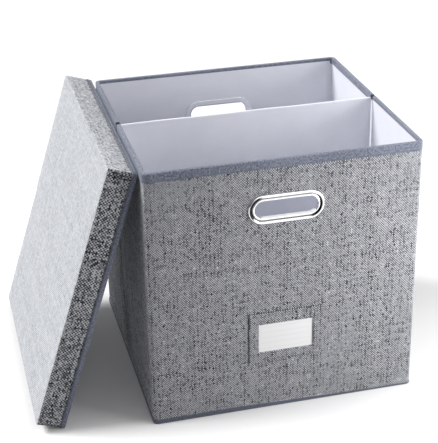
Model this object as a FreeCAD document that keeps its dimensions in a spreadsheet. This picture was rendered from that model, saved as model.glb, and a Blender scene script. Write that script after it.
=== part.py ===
import FreeCAD, Part
import os
import re

from FreeCAD import Placement, Rotation, Vector

# Record carrying case: a folding cloth-covered board box with a lift-off lid,
# a loose base board, a loose divider, two metal hand holes and a label pocket.
# Millimetres, +X to the right, +Y away from the label side, +Z up.
# The origin is the middle of the case's footprint, on the surface that it stands on.

# Driving sizes. Each one is a cell of the sheet, under the same name.
SIZES = {
    # case, measured over its cloth from side to side and over its rim tape in height
    "case_width": 364.0,
    "case_depth": 349.0,
    "case_height": 365.0,
    "corner_radius": 4.0,
    # layers of a wall, from outside to inside
    "cover_thickness": 0.8,
    "board_thickness": 2.6,
    "liner_thickness": 0.6,
    "board_gap": 0.6,
    "fold_gap": 7.0,
    # binding tapes and the floor cloth
    "tape_thickness": 0.8,
    "rim_tape_outside": 12.5,
    "rim_tape_inside": 7.5,
    "fold_notch_width": 6.0,
    "fold_notch_depth": 4.0,
    "base_tape_height": 7.0,
    "base_tape_width": 9.0,
    "floor_thickness": 0.8,
    "floor_clearance": 1.0,
    # hand holes
    "handle_length": 101.0,
    "handle_height": 40.5,
    "handle_drop": 67.5,
    "handle_flange": 2.8,
    "handle_lip": 3.2,
    "handle_edge_radius": 1.3,
    "groove_width": 2.4,
    "groove_floor": 0.9,
    "handle_ring": 8.3,
    "barrel_wall": 1.0,
    "washer_thickness": 1.0,
    "washer_clearance": 0.15,
    "barrel_clearance": 0.3,
    # label pocket and card
    "pocket_width": 102.0,
    "pocket_height": 75.0,
    "pocket_centre": 111.0,
    "pocket_cloth": 0.8,
    "window_width": 74.0,
    "window_height": 42.0,
    "window_lift": -1.5,
    "card_thickness": 0.4,
    "card_overlap": 6.0,
    "card_clearance": 0.2,
    "card_side_clearance": 0.6,
    # base board and divider
    "insert_clearance": 0.6,
    "insert_board": 2.6,
    "insert_wrap": 0.6,
    "turn_in": 18.0,
    "divider_drop": 2.0,
    "tab_width": 25.0,
    "tab_length": 20.0,
    "tab_height": 24.0,
    "tab_thickness": 0.8,
    # lid
    "lid_clearance": 0.7,
    "lid_board": 1.8,
    "lid_skirt": 39.0,
    "lid_tape_height": 7.0,
    "lid_corner_radius": 5.0,
    "lid_lean": 72.0,
    "lid_gap": 0.3,
    "lid_setback": 22.0,
    # tools of the cuts
    "overrun": 5.0,
    "mitre_reach": 20.0,
    "mitre_shift": 0.2,
}

# Sizes that follow from the driving ones, as formulas in the same words.
DERIVED = {
    "half_width": "case_width / 2",
    "half_depth": "case_depth / 2",
    "behind_board": "cover_thickness + board_thickness",
    "wall": "behind_board + liner_thickness",
    "wall_top": "case_height - tape_thickness",
    "wall_bottom": "tape_thickness + floor_thickness",
    "board_end": "max(behind_board + board_gap; corner_radius)",
    "handle_centre": "case_height - handle_drop",
    "opening_length": "handle_length - 2 * handle_ring",
    "opening_height": "handle_height - 2 * handle_ring",
    "barrel_length": "opening_length + 2 * barrel_wall",
    "barrel_height": "opening_height + 2 * barrel_wall",
    "washer_face": "wall + washer_thickness",
    "pocket_depth": "card_thickness + card_clearance",
    "pocket_top": "pocket_centre + pocket_height / 2",
    "window_centre": "pocket_centre + window_lift",
    "card_half": "window_width / 2 + card_overlap",
    "card_low": "window_centre - window_height / 2 - card_overlap",
    "card_high": "window_centre + window_height / 2 + card_overlap",
    "insert_margin": "wall + max(tape_thickness; washer_thickness) + insert_clearance",
    "insert_half_x": "half_width - insert_margin",
    "insert_half_y": "half_depth - insert_margin",
    "base_top": "wall_bottom + insert_board + 2 * insert_wrap",
    "divider_half": "insert_board / 2 + insert_wrap",
    "divider_top": "case_height - divider_drop",
    "lid_behind_board": "cover_thickness + lid_board",
    "lid_wall": "lid_behind_board + liner_thickness",
    "lid_half_x": "half_width + tape_thickness + lid_clearance + lid_wall",
    "lid_half_y": "half_depth + tape_thickness + lid_clearance + lid_wall",
    "lid_under_cover": "lid_skirt - cover_thickness",
    "lid_under_board": "lid_under_cover - lid_board",
    "lid_reach": "lid_half_x + tape_thickness",
    "lid_rise": "lid_reach * sin(lid_lean * 1 deg)",
    "lid_contact": "min(2 * lid_rise; case_height)",
}

doc = FreeCAD.newDocument("record_carrying_case")
sheet = doc.addObject("Spreadsheet::Sheet", "sizes")
for row, (alias, size) in enumerate(SIZES.items(), start=1):
    cell = f"B{row}"
    sheet.set(f"A{row}", alias)
    sheet.set(cell, str(size))
    sheet.setAlias(cell, alias)
doc.recompute()


# Turns a formula in plain words into one that reads the sheet.
def formula(words):
    def name(match):
        word = match.group(0)
        if word in DERIVED:
            return f"({formula(DERIVED[word])})"
        return f"sizes.{word}" if word in SIZES else word

    return re.sub(r"[a-z_]+", name, str(words))


def bind(item, path, words):
    item.setExpression(path, formula(words))


def place(item, x="0", y="0", z="0", axis=Vector(0, 0, 1), angle=0):
    item.Placement = Placement(Vector(), Rotation(axis, angle))
    for path, words in zip("xyz", (x, y, z)):
        bind(item, f"Placement.Base.{path}", words)
    return item


# The span from minus a size to plus that size
def centred(half):
    return f"-({half})", half


# A span on the + side, or its mirror image on the - side
def mirrored(sign, near, far):
    return (near, far) if sign > 0 else (f"-({far})", f"-({near})")


# Plain block between pairs of formulas
def block(name, x, y, z):
    item = doc.addObject("Part::Box", name)
    for side, (low, high) in zip(("Length", "Width", "Height"), (x, y, z)):
        bind(item, side, f"({high}) - ({low})")
    return place(item, x[0], y[0], z[0])


# Block about the Z axis with rounded upright edges
def rounded(name, half_x, half_y, z, radius):
    body = doc.addObject("PartDesign::Body", name)
    core = body.newObject("PartDesign::AdditiveBox", f"{name}_block")
    bind(core, "Length", f"2 * ({half_x})")
    bind(core, "Width", f"2 * ({half_y})")
    bind(core, "Height", f"({z[1]}) - ({z[0]})")
    place(core, f"-({half_x})", f"-({half_y})", z[0])
    doc.recompute()
    upright = []
    for number, edge in enumerate(core.Shape.Edges, start=1):
        along = edge.tangentAt(edge.FirstParameter)
        if abs(along.z) > max(abs(along.x), abs(along.y)):
            upright.append(f"Edge{number}")
    corners = body.newObject("PartDesign::Fillet", f"{name}_corners")
    corners.Base = (core, upright)
    bind(corners, "Radius", radius)
    return body


def fuse(name, *pieces):
    item = doc.addObject("Part::MultiFuse", name)
    item.Shapes = list(pieces)
    item.Refine = True
    return item


def cut(name, base, *tools):
    for number, tool in enumerate(tools, start=1):
        last = number == len(tools)
        item = doc.addObject("Part::Cut", name if last else f"{name}_cut_{number}")
        item.Base = base
        item.Tool = tool
        base = item
    return base


# Prism along Y, about the Y axis, with a long round-ended section
def obround(name, length, height, y):
    half = f"(({length}) - ({height})) / 2"
    rise = f"({height}) / 2"
    pieces = [block(f"{name}_middle", centred(half), y, centred(rise))]
    for end, x in zip(("left", "right"), centred(half)):
        round_end = doc.addObject("Part::Cylinder", f"{name}_{end}")
        bind(round_end, "Radius", rise)
        bind(round_end, "Height", f"({y[1]}) - ({y[0]})")
        pieces.append(place(round_end, x, y[0], "0", Vector(1, 0, 0), -90))
    return fuse(name, *pieces)


# Turn of each side about Z, and whether the side runs along X
SIDES = {
    "front": (0, True),
    "right": (90, False),
    "back": (180, True),
    "left": (270, False),
}


# The four wedges that mitre a ring into one strip for each side.
# The mitres miss the ring's corners by a little, in favour of the left and right sides.
def mitres(name, half_x, half_y, z):
    height = f"({z[1]}) - ({z[0]})"
    wedges = {}
    for side, (turn, along_x) in SIDES.items():
        across, out = (half_x, half_y) if along_x else (half_y, half_x)
        across += " - mitre_shift" if along_x else " + mitre_shift"
        wedge = doc.addObject("Part::Wedge", f"{name}_{side}")
        for path, words in {
            "Xmin": f"-({across}) - overrun",
            "Xmax": f"({across}) + overrun",
            "X2min": f"mitre_reach - ({across})",
            "X2max": f"({across}) - mitre_reach",
            "Ymin": "0",
            "Ymax": "overrun + mitre_reach",
            "Zmin": "0",
            "Zmax": height,
            "Z2min": "0",
            "Z2max": height,
        }.items():
            bind(wedge, path, words)
        outward = f"({out}) + overrun"
        x = {"right": outward, "left": f"-({outward})"}.get(side, "0")
        y = {"back": outward, "front": f"-({outward})"}.get(side, "0")
        wedges[side] = place(wedge, x, y, z[0], angle=turn)
    return wedges


# One strip of a ring for each side, mitred at the corners
def strips(ring, wedges, label):
    made = {}
    for side, wedge in wedges.items():
        strip = doc.addObject("Part::Common", f"{side}_{label}")
        strip.Base = ring
        strip.Tool = wedge
        made[side] = strip
    return made


parts = {}


# Takes an object as a finished sub-part.
def keep(item, label=None):
    if label:
        item.Label = label
    parts[item.Label] = item
    return item


# Case: tools that several of its pieces share
everything = ("-overrun", "case_height + overrun")
case_mitres = mitres("case_mitre", "half_width", "half_depth", everything)
walls = ("wall_bottom", "wall_top")
hand_cut = obround(
    "hand_cut",
    "barrel_length + 2 * barrel_clearance",
    "barrel_height + 2 * barrel_clearance",
    centred("half_depth + overrun"),
)
place(hand_cut, z="handle_centre")

# Cloth cover, one strip for each wall
cover_outside = rounded("cover_outside", "half_width", "half_depth", walls, "corner_radius")
cover_inside = rounded(
    "cover_inside",
    "half_width - cover_thickness",
    "half_depth - cover_thickness",
    everything,
    "corner_radius - cover_thickness",
)
covers = strips(cut("cover_ring", cover_outside, cover_inside), case_mitres, "cover_strip")

# Liner, one strip for each wall
liner_outside = block(
    "liner_outside",
    centred("half_width - behind_board"),
    centred("half_depth - behind_board"),
    walls,
)
liner_inside = block(
    "liner_inside", centred("half_width - wall"), centred("half_depth - wall"), everything
)
liners = strips(cut("liner_ring", liner_outside, liner_inside), case_mitres, "liner_strip")

for side in ("front", "back"):
    keep(cut(f"{side}_cover", covers[side], hand_cut))
    keep(cut(f"{side}_liner", liners[side], hand_cut))
for side in ("left", "right"):
    keep(covers[side], f"{side}_cover")
    keep(liners[side], f"{side}_liner")

# Boards: whole ones front and back, two half boards on each folding side
for side, sign in (("front", -1), ("back", 1)):
    blank = block(
        f"{side}_board_blank",
        centred("half_width - corner_radius"),
        mirrored(sign, "half_depth - behind_board", "half_depth - cover_thickness"),
        walls,
    )
    keep(cut(f"{side}_board", blank, hand_cut))
for side, sign in (("left", -1), ("right", 1)):
    across = mirrored(sign, "half_width - behind_board", "half_width - cover_thickness")
    for end, way in (("front", -1), ("rear", 1)):
        along = mirrored(way, "fold_gap / 2", "half_depth - board_end")
        keep(block(f"{side}_{end}_board", across, along, walls))


# Tape folded over the free edge of a wall, as a ring about the Z axis.
# Its outer leg lies on the wall's outer face, and its inner leg on the wall's inner face.
def tape_ring(name, half_x, half_y, radius, wall_thickness, outside, inside, edge, edge_up):
    # Levels from one depth below the free edge to another, the low one first
    def between(shallow, deep):
        if edge_up:
            return f"({edge}) - ({deep})", f"({edge}) - ({shallow})"
        return f"({edge}) + ({shallow})", f"({edge}) + ({deep})"

    past_leg = f"{outside} + overrun"
    inner_x = f"({half_x}) - ({wall_thickness})"
    inner_y = f"({half_y}) - ({wall_thickness})"
    outer = rounded(
        f"{name}_outer",
        f"{half_x} + tape_thickness",
        f"{half_y} + tape_thickness",
        between("0", outside),
        f"{radius} + tape_thickness",
    )
    space = rounded(f"{name}_space", half_x, half_y, between("tape_thickness", past_leg), radius)
    leg = block(f"{name}_leg", centred(inner_x), centred(inner_y), between("tape_thickness", inside))
    opening = block(
        f"{name}_opening",
        centred(f"{inner_x} - tape_thickness"),
        centred(f"{inner_y} - tape_thickness"),
        between("-overrun", past_leg),
    )
    return cut(name, outer, cut(f"{name}_wall", space, leg), opening)


# Rim tape; the two side strips are notched where the walls fold
rim_ring = tape_ring(
    "rim_ring",
    "half_width",
    "half_depth",
    "corner_radius",
    "wall",
    "rim_tape_outside",
    "rim_tape_inside",
    "case_height",
    edge_up=True,
)
rim = strips(rim_ring, case_mitres, "rim_strip")
for side in ("front", "back"):
    keep(rim[side], f"{side}_rim_tape")
for side, sign in (("left", -1), ("right", 1)):
    notch = block(
        f"{side}_fold_notch",
        mirrored(sign, "half_width - wall - tape_thickness - overrun", "half_width - cover_thickness"),
        centred("fold_notch_width / 2"),
        ("case_height - fold_notch_depth", "case_height + overrun"),
    )
    keep(cut(f"{side}_rim_tape", rim[side], notch))

# Base tape, an angle round the foot of the walls
base_outside = rounded(
    "base_outside",
    "half_width + tape_thickness",
    "half_depth + tape_thickness",
    ("0", "base_tape_height"),
    "corner_radius + tape_thickness",
)
base_wall_space = rounded(
    "base_wall_space",
    "half_width",
    "half_depth",
    ("tape_thickness", "base_tape_height + overrun"),
    "corner_radius",
)
base_opening = block(
    "base_opening",
    centred("half_width - base_tape_width"),
    centred("half_depth - base_tape_width"),
    ("-overrun", "base_tape_height"),
)
base_ring = cut("base_ring", base_outside, base_wall_space, base_opening)
for side, strip in strips(base_ring, case_mitres, "base_strip").items():
    keep(strip, f"{side}_base_tape")

# Floor cloth: its edge lies on the tape, and its middle on the ground
keep(
    fuse(
        "floor_cloth",
        rounded(
            "floor_edge", "half_width", "half_depth", ("tape_thickness", "wall_bottom"), "corner_radius"
        ),
        block(
            "floor_middle",
            centred("half_width - base_tape_width - floor_clearance"),
            centred("half_depth - base_tape_width - floor_clearance"),
            ("0", "wall_bottom"),
        ),
    )
)


# The outer lip's edges lie further out than the middle of the groove.
def on_outer_lip(edge):
    middle = sheet.get("handle_height") / 2 - sheet.get("handle_lip") - sheet.get("groove_width") / 2
    straight = (sheet.get("handle_length") - sheet.get("handle_height")) / 2
    point = edge.valueAt(edge.FirstParameter)
    return Vector(max(abs(point.x) - straight, 0), 0, point.z).Length > middle


# Hand hole: a grommet goes in from outside, and a washer holds it inside.
# Both are drawn with the wall's outer face at Y = 0 and the outside towards -Y.
def hand_hole(side, y, turn):
    through = ("-handle_flange - overrun", "washer_face + overrun")
    lips = ("-handle_flange - overrun", "-groove_floor")
    flange = obround(f"{side}_flange", "handle_length", "handle_height", ("-handle_flange", "0"))
    barrel = obround(f"{side}_barrel", "barrel_length", "barrel_height", ("0", "washer_face"))
    groove_edges = []
    for edge, margin in (("far", "2 * handle_lip"), ("near", "2 * (handle_lip + groove_width)")):
        length = f"handle_length - {margin}"
        height = f"handle_height - {margin}"
        groove_edges.append(obround(f"{side}_groove_{edge}", length, height, lips))
    groove = cut(f"{side}_groove", *groove_edges)
    opening = obround(f"{side}_opening", "opening_length", "opening_height", through)
    blank = fuse(f"{side}_grommet_blank", flange, barrel)
    sharp = cut(f"{side}_grommet_sharp", blank, groove, opening)
    doc.recompute()
    front = -(sheet.get("handle_flange") + sheet.get("groove_floor")) / 2
    radius = sheet.get("handle_edge_radius")
    grommet = doc.addObject("Part::Fillet", f"{side}_handle_grommet")
    grommet.Base = sharp
    grommet.Edges = [
        (number, radius, radius)
        for number, edge in enumerate(sharp.Shape.Edges, start=1)
        if edge.BoundBox.YMax < front and on_outer_lip(edge)
    ]
    washer = cut(
        f"{side}_handle_washer",
        obround(f"{side}_washer_disc", "handle_length", "handle_height", ("wall", "washer_face")),
        obround(
            f"{side}_washer_hole",
            "barrel_length + 2 * washer_clearance",
            "barrel_height + 2 * washer_clearance",
            through,
        ),
    )
    for item in (grommet, washer):
        keep(place(item, y=y, z="handle_centre", angle=turn))


hand_hole("front", "-half_depth", 0)
hand_hole("back", "half_depth", 180)

# Label pocket: cloth on the front cover, open at its top, with a window over the card
pocket_cloth = block(
    "pocket_cloth",
    centred("pocket_width / 2"),
    ("-half_depth - pocket_depth - pocket_cloth", "-half_depth"),
    ("pocket_centre - pocket_height / 2", "pocket_top"),
)
pocket_space = block(
    "pocket_space",
    centred("card_half + card_side_clearance"),
    ("-half_depth - pocket_depth", "-half_depth + overrun"),
    ("card_low", "pocket_top + overrun"),
)
pocket_window = block(
    "pocket_window",
    centred("window_width / 2"),
    ("-half_depth - overrun", "-half_depth + overrun"),
    ("window_centre - window_height / 2", "window_centre + window_height / 2"),
)
keep(cut("label_pocket", pocket_cloth, pocket_space, pocket_window))
card_y = ("-half_depth - card_thickness", "-half_depth")
keep(block("label_card", centred("card_half"), card_y, ("card_low", "card_high")))

# Base board: a board in a turned-in wrap, and the ribbon that lifts it out
insert_x = centred("insert_half_x")
insert_y = centred("insert_half_y")
core_x = centred("insert_half_x - insert_wrap")
core_y = centred("insert_half_y - insert_wrap")
core_z = ("wall_bottom + insert_wrap", "base_top - insert_wrap")
keep(block("base_board_core", core_x, core_y, core_z))
wrap_blank = block("base_wrap_blank", insert_x, insert_y, ("wall_bottom", "base_top"))
wrap_space = block("base_core_space", core_x, core_y, core_z)
wrap_underside = block(
    "base_underside",
    centred("insert_half_x - turn_in"),
    centred("insert_half_y - turn_in"),
    ("wall_bottom - overrun", "wall_bottom + insert_wrap"),
)
keep(cut("base_board_wrap", wrap_blank, wrap_space, wrap_underside))
tab_y = ("insert_half_y / 2 - tab_width / 2", "insert_half_y / 2 + tab_width / 2")
tab_foot = block(
    "tab_foot",
    ("insert_half_x - tab_length", "insert_half_x"),
    tab_y,
    ("base_top", "base_top + tab_thickness"),
)
tab_rise = block(
    "tab_rise",
    ("insert_half_x - tab_thickness", "insert_half_x"),
    tab_y,
    ("base_top", "base_top + tab_height"),
)
keep(fuse("base_lift_tab", tab_foot, tab_rise))

# Divider: a board in a cloth sleeve that is open at its foot
divider_y = centred("divider_half")
divider_core_y = centred("divider_half - insert_wrap")
divider_inside = "divider_top - insert_wrap"
keep(block("divider_board", core_x, divider_core_y, ("base_top", divider_inside)))
sleeve_blank = block("divider_blank", insert_x, divider_y, ("base_top", "divider_top"))
sleeve_space = block("divider_space", core_x, divider_core_y, ("base_top - overrun", divider_inside))
keep(cut("divider_sleeve", sleeve_blank, sleeve_space))


# The lid is drawn as if closed, with its free edge at Z = 0, and leant on the left wall.
# It touches the wall at its upper end, or on the rim if the wall is lower than that.
def lean(item):
    place(
        item,
        "-half_width - tape_thickness - lid_gap - (lid_contact - lid_rise) / tan(lid_lean * 1 deg)",
        "lid_half_y + lid_setback - half_depth",
        "lid_rise",
        Vector(0, -1, 0),
        sheet.get("lid_lean"),
    )
    bind(item, "Placement.Rotation.Angle", "lid_lean")
    return item


lid_through = ("-overrun", "lid_skirt + overrun")
lid_mitres = mitres("lid_mitre", "lid_half_x", "lid_half_y", lid_through)
lid_board_x = "lid_half_x - cover_thickness"
lid_board_y = "lid_half_y - cover_thickness"
lid_board_radius = "lid_corner_radius - cover_thickness"
lid_liner_x = centred("lid_half_x - lid_behind_board")
lid_liner_y = centred("lid_half_y - lid_behind_board")

# Cloth over the lid's top and skirt
lid_outside = rounded(
    "lid_outside", "lid_half_x", "lid_half_y", ("tape_thickness", "lid_skirt"), "lid_corner_radius"
)
lid_inside = rounded(
    "lid_inside", lid_board_x, lid_board_y, ("-overrun", "lid_under_cover"), lid_board_radius
)
keep(lean(cut("lid_cover", lid_outside, lid_inside)))

# Boards of the lid's top and skirt
lid_top = ("lid_under_board", "lid_under_cover")
keep(lean(rounded("lid_top_board", lid_board_x, lid_board_y, lid_top, lid_board_radius)))
skirt_outside = rounded(
    "skirt_outside", lid_board_x, lid_board_y, ("tape_thickness", "lid_under_board"), lid_board_radius
)
skirt_inside = block("skirt_inside", lid_liner_x, lid_liner_y, lid_through)
skirt_ring = cut("skirt_ring", skirt_outside, skirt_inside)
for side, strip in strips(skirt_ring, lid_mitres, "skirt_strip").items():
    keep(lean(strip), f"lid_{side}_board")

# Lining of the lid
lining_blank = block(
    "lining_blank", lid_liner_x, lid_liner_y, ("tape_thickness", "lid_under_board")
)
lining_space = block(
    "lining_space",
    centred("lid_half_x - lid_wall"),
    centred("lid_half_y - lid_wall"),
    ("-overrun", "lid_under_board - liner_thickness"),
)
keep(lean(cut("lid_liner", lining_blank, lining_space)))

# Tape over the skirt's free edge
lid_tape_ring = tape_ring(
    "lid_tape_ring",
    "lid_half_x",
    "lid_half_y",
    "lid_corner_radius",
    "lid_wall",
    "lid_tape_height",
    "lid_tape_height",
    "0",
    edge_up=False,
)
for side, strip in strips(lid_tape_ring, lid_mitres, "lid_tape_strip").items():
    keep(lean(strip), f"lid_{side}_tape")

doc.recompute()

faults = []
for item in doc.Objects:
    if {"Invalid", "Error"} & set(item.State):
        faults.append(f"{item.Name}: {item.State}")
for label, item in parts.items():
    shape = item.Shape
    if shape.isNull():
        faults.append(f"{label}: no shape")
    elif not shape.isValid() or len(shape.Solids) != 1:
        faults.append(f"{label}: valid {shape.isValid()}, solids {len(shape.Solids)}")
if faults:
    raise RuntimeError("; ".join(faults))

os.makedirs("parts", exist_ok=True)
for label, item in sorted(parts.items()):
    item.Shape.exportStep(f"parts/{label}.step")
    box = item.Shape.BoundBox
    spans = ((box.XMin, box.XMax), (box.YMin, box.YMax), (box.ZMin, box.ZMax))
    reach = "  ".join(f"{low:7.1f} {high:7.1f}" for low, high in spans)
    print(f"{label:24s} {item.Shape.Volume:12.1f} mm3  {reach}")
print(len(parts), "sub-parts")
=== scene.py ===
# Record carrying case: cloth, tape, metal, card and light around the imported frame.
# Lengths in the dictionaries are millimetres; meshes are written in metres.
import math

import bmesh
import bpy
from mathutils import Matrix, Vector, noise


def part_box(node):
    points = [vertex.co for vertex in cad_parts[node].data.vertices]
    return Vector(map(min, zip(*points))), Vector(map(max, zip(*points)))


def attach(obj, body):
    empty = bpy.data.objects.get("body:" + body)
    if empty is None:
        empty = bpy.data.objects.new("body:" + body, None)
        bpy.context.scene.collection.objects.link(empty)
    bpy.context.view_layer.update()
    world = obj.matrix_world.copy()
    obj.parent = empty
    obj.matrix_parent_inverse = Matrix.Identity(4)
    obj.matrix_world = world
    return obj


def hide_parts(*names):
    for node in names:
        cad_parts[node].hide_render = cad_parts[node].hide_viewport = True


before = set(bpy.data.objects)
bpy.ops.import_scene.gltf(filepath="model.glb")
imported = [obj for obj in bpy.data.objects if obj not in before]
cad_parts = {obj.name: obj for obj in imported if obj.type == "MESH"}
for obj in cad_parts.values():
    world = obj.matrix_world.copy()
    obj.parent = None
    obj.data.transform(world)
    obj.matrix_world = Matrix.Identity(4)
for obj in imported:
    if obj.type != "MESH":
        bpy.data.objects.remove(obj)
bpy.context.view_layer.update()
scene = bpy.context.scene
mm = 0.001
print("frame loaded with", len(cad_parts), "nodes")


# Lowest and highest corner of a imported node, in millimetres.
def nodeBox(name):
    low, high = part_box(name)
    return low / mm, high / mm


# Camera, from the edges of the case and the lid.
cameraView = {
    "azimuth": -13.96,
    "elevation": 26.1,
    "roll": -1.09,
    "target": (-44.61, 0.0, 200.84),
    "distance": 1768.26,
    "focalPixels": 1255.93,
    "framePixels": 443,
    "sensorWidth": 36.0,
    "nearClip": 50.0,
    "farClip": 50000.0,
}


def makeCamera():
    spec = cameraView
    turn, tilt, roll = (math.radians(spec[name]) for name in ("azimuth", "elevation", "roll"))
    ahead = Vector((-math.sin(turn) * math.cos(tilt), math.cos(turn) * math.cos(tilt), -math.sin(tilt)))
    right = Vector((math.cos(turn), math.sin(turn), 0.0))
    up = right.cross(ahead)
    rolledRight = right * math.cos(roll) + up * math.sin(roll)
    rolledUp = up * math.cos(roll) - right * math.sin(roll)
    lens = bpy.data.cameras.new("camera")
    lens.sensor_width = spec["sensorWidth"]
    lens.lens = spec["focalPixels"] * spec["sensorWidth"] / spec["framePixels"]
    lens.clip_start = spec["nearClip"] * mm
    lens.clip_end = spec["farClip"] * mm
    camera = bpy.data.objects.new("camera", lens)
    scene.collection.objects.link(camera)
    place = Vector(spec["target"]) - ahead * spec["distance"]
    axes = Matrix((rolledRight, rolledUp, -ahead)).transposed().to_4x4()
    camera.matrix_world = Matrix.Translation(place * mm) @ axes
    scene.camera = camera


makeCamera()
print("camera placed")


# Node helpers: a number or a socket goes into an input.
def feed(tree, socket, value):
    if isinstance(value, bpy.types.NodeSocket):
        tree.links.new(value, socket)
    else:
        socket.default_value = value


# Adds a node and feeds its inputs, in their order or by name.
def addNode(tree, kind, *values, **named):
    step = tree.nodes.new(kind)
    for socket, value in zip(step.inputs, values):
        feed(tree, socket, value)
    for name, value in named.items():
        feed(tree, step.inputs[name], value)
    return step


def calc(tree, operation, *values):
    step = addNode(tree, "ShaderNodeMath", *values)
    step.operation = operation
    return step.outputs[0]


def spread(tree, value, fromLow, fromHigh, toLow, toHigh):
    return addNode(tree, "ShaderNodeMapRange", value, fromLow, fromHigh, toLow, toHigh).outputs[0]


def joinXyz(tree, x, y, z=0.0):
    return addNode(tree, "ShaderNodeCombineXYZ", x, y, z).outputs[0]


def splitXyz(tree, vector):
    return addNode(tree, "ShaderNodeSeparateXYZ", vector).outputs


def cloudy(tree, vector, scale, detail=2.0, roughness=0.5):
    step = addNode(tree, "ShaderNodeTexNoise", Vector=vector, Scale=scale, Detail=detail, Roughness=roughness)
    return step.outputs["Fac"]


def speckle(tree, x, y):
    return addNode(tree, "ShaderNodeTexWhiteNoise", Vector=joinXyz(tree, x, y)).outputs["Value"]


def mixTones(tree, share, dark, light):
    step = tree.nodes.new("ShaderNodeMix")
    step.data_type = "RGBA"
    feed(tree, step.inputs["Factor"], share)
    for socket, tone in ((step.inputs[6], dark), (step.inputs[7], light)):
        feed(tree, socket, tone if isinstance(tone, bpy.types.NodeSocket) else (*tone, 1.0))
    return step.outputs[2]


def attribute(tree, name):
    step = tree.nodes.new("ShaderNodeAttribute")
    step.attribute_name = name
    return step.outputs["Fac"]


# A base, moved by a share of how far a layer lies from its middle.
def shift(tree, base, layer, share, middle=0.5):
    return calc(tree, "MULTIPLY_ADD", calc(tree, "SUBTRACT", layer, middle), share, base)


# A value, grown or weakened by a share where a layer is marked.
def scaled(tree, value, layer, share):
    return calc(tree, "MULTIPLY", value, calc(tree, "MULTIPLY_ADD", layer, share, 1.0))


# A place along the cloth, counted in threads or other steps of a pitch.
def inPitches(tree, place, pitch):
    return calc(tree, "DIVIDE", place, pitch * mm)


# Rises from 0 to 1 and falls again over each whole step.
def swell(tree, steps):
    return calc(tree, "SINE", calc(tree, "MULTIPLY", calc(tree, "FRACT", steps), math.pi))


def clothPlace(tree):
    uv = tree.nodes.new("ShaderNodeUVMap")
    uv.uv_map = "cloth"
    return splitXyz(tree, uv.outputs["UV"])[:2]


def objectPlace(tree):
    return tree.nodes.new("ShaderNodeTexCoord").outputs["Object"]


# A principled material. Fixed numbers stay on the shader's own sockets.
def newMaterial(name, spec):
    material = bpy.data.materials.new(name)
    material.use_nodes = True
    tree = material.node_tree
    shader = tree.nodes["Principled BSDF"]
    shader.inputs["Roughness"].default_value = spec["roughness"]
    shader.inputs["Metallic"].default_value = spec.get("metallic", 0.0)
    shader.inputs["Specular IOR Level"].default_value = spec.get("specular", 0.3)
    shader.inputs["Sheen Weight"].default_value = spec.get("sheen", 0.0)
    shader.inputs["Sheen Roughness"].default_value = 0.5
    return material, tree, shader


def paint(tree, shader, spec, colour, height):
    feed(tree, shader.inputs["Base Color"], colour)
    bump = addNode(tree, "ShaderNodeBump", Height=height)
    bump.inputs["Strength"].default_value = spec["bumpStrength"]
    bump.inputs["Distance"].default_value = spec["bump"] * mm
    feed(tree, shader.inputs["Normal"], bump.outputs["Normal"])


# Heathered linen: light and dark threads over and under each other, with slubs along them.
linenFinish = {
    "warpPitch": 1.62,
    "weftPitch": 1.7,
    "warpSway": 0.9,
    "weftSway": -0.8,
    "swayScale": 55.0,
    "toneRun": 8.0,
    "slubRun": 24.0,
    "slubRange": (0.55, 0.66),
    "warpSeeds": ((7.31, 0.0), (3.17, 8.0)),
    "weftSeeds": ((5.17, 3.0), (4.33, 12.0)),
    "cloudScale": 24.0,
    "base": 0.24,
    "weaveShare": 1.2,
    "heavyShare": 0.7,
    "heavyTone": 0.15,
    "grainShare": 0.9,
    "threadShare": 1.3,
    "slubShare": 0.32,
    "warpStreakShare": 0.3,
    "weftStreakShare": 0.26,
    "cloudShare": 0.35,
    "looseWeave": -0.35,
    "looseGrain": 0.3,
    "looseThread": -0.5,
    # painted light: where marked, the cloth is paler and lower in contrast
    "paintedLightMiddle": 0.4,
    "paintedLightContrast": -0.72,
    "paintedLightLift": 0.37,
    # painted shade along seams and the pocket's edges
    "paintedSeamShade": -0.8,
    "overShare": 0.6,
    "dark": (0.028, 0.029, 0.032),
    "light": (0.67, 0.69, 0.73),
    "roughness": 0.9,
    "sheen": 0.08,
    "specular": 0.2,
    "bump": 0.25,
    "bumpStrength": 0.3,
}


# Slow noise along a thread, another on the next thread.
def threadNoise(tree, index, travel, run, seed, isWarp):
    other = calc(tree, "MULTIPLY", index, seed[0])
    along = inPitches(tree, travel, run)
    spot = (other, along) if isWarp else (along, other)
    return cloudy(tree, joinXyz(tree, *spot, seed[1]), 1.0, 1.0)


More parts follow.
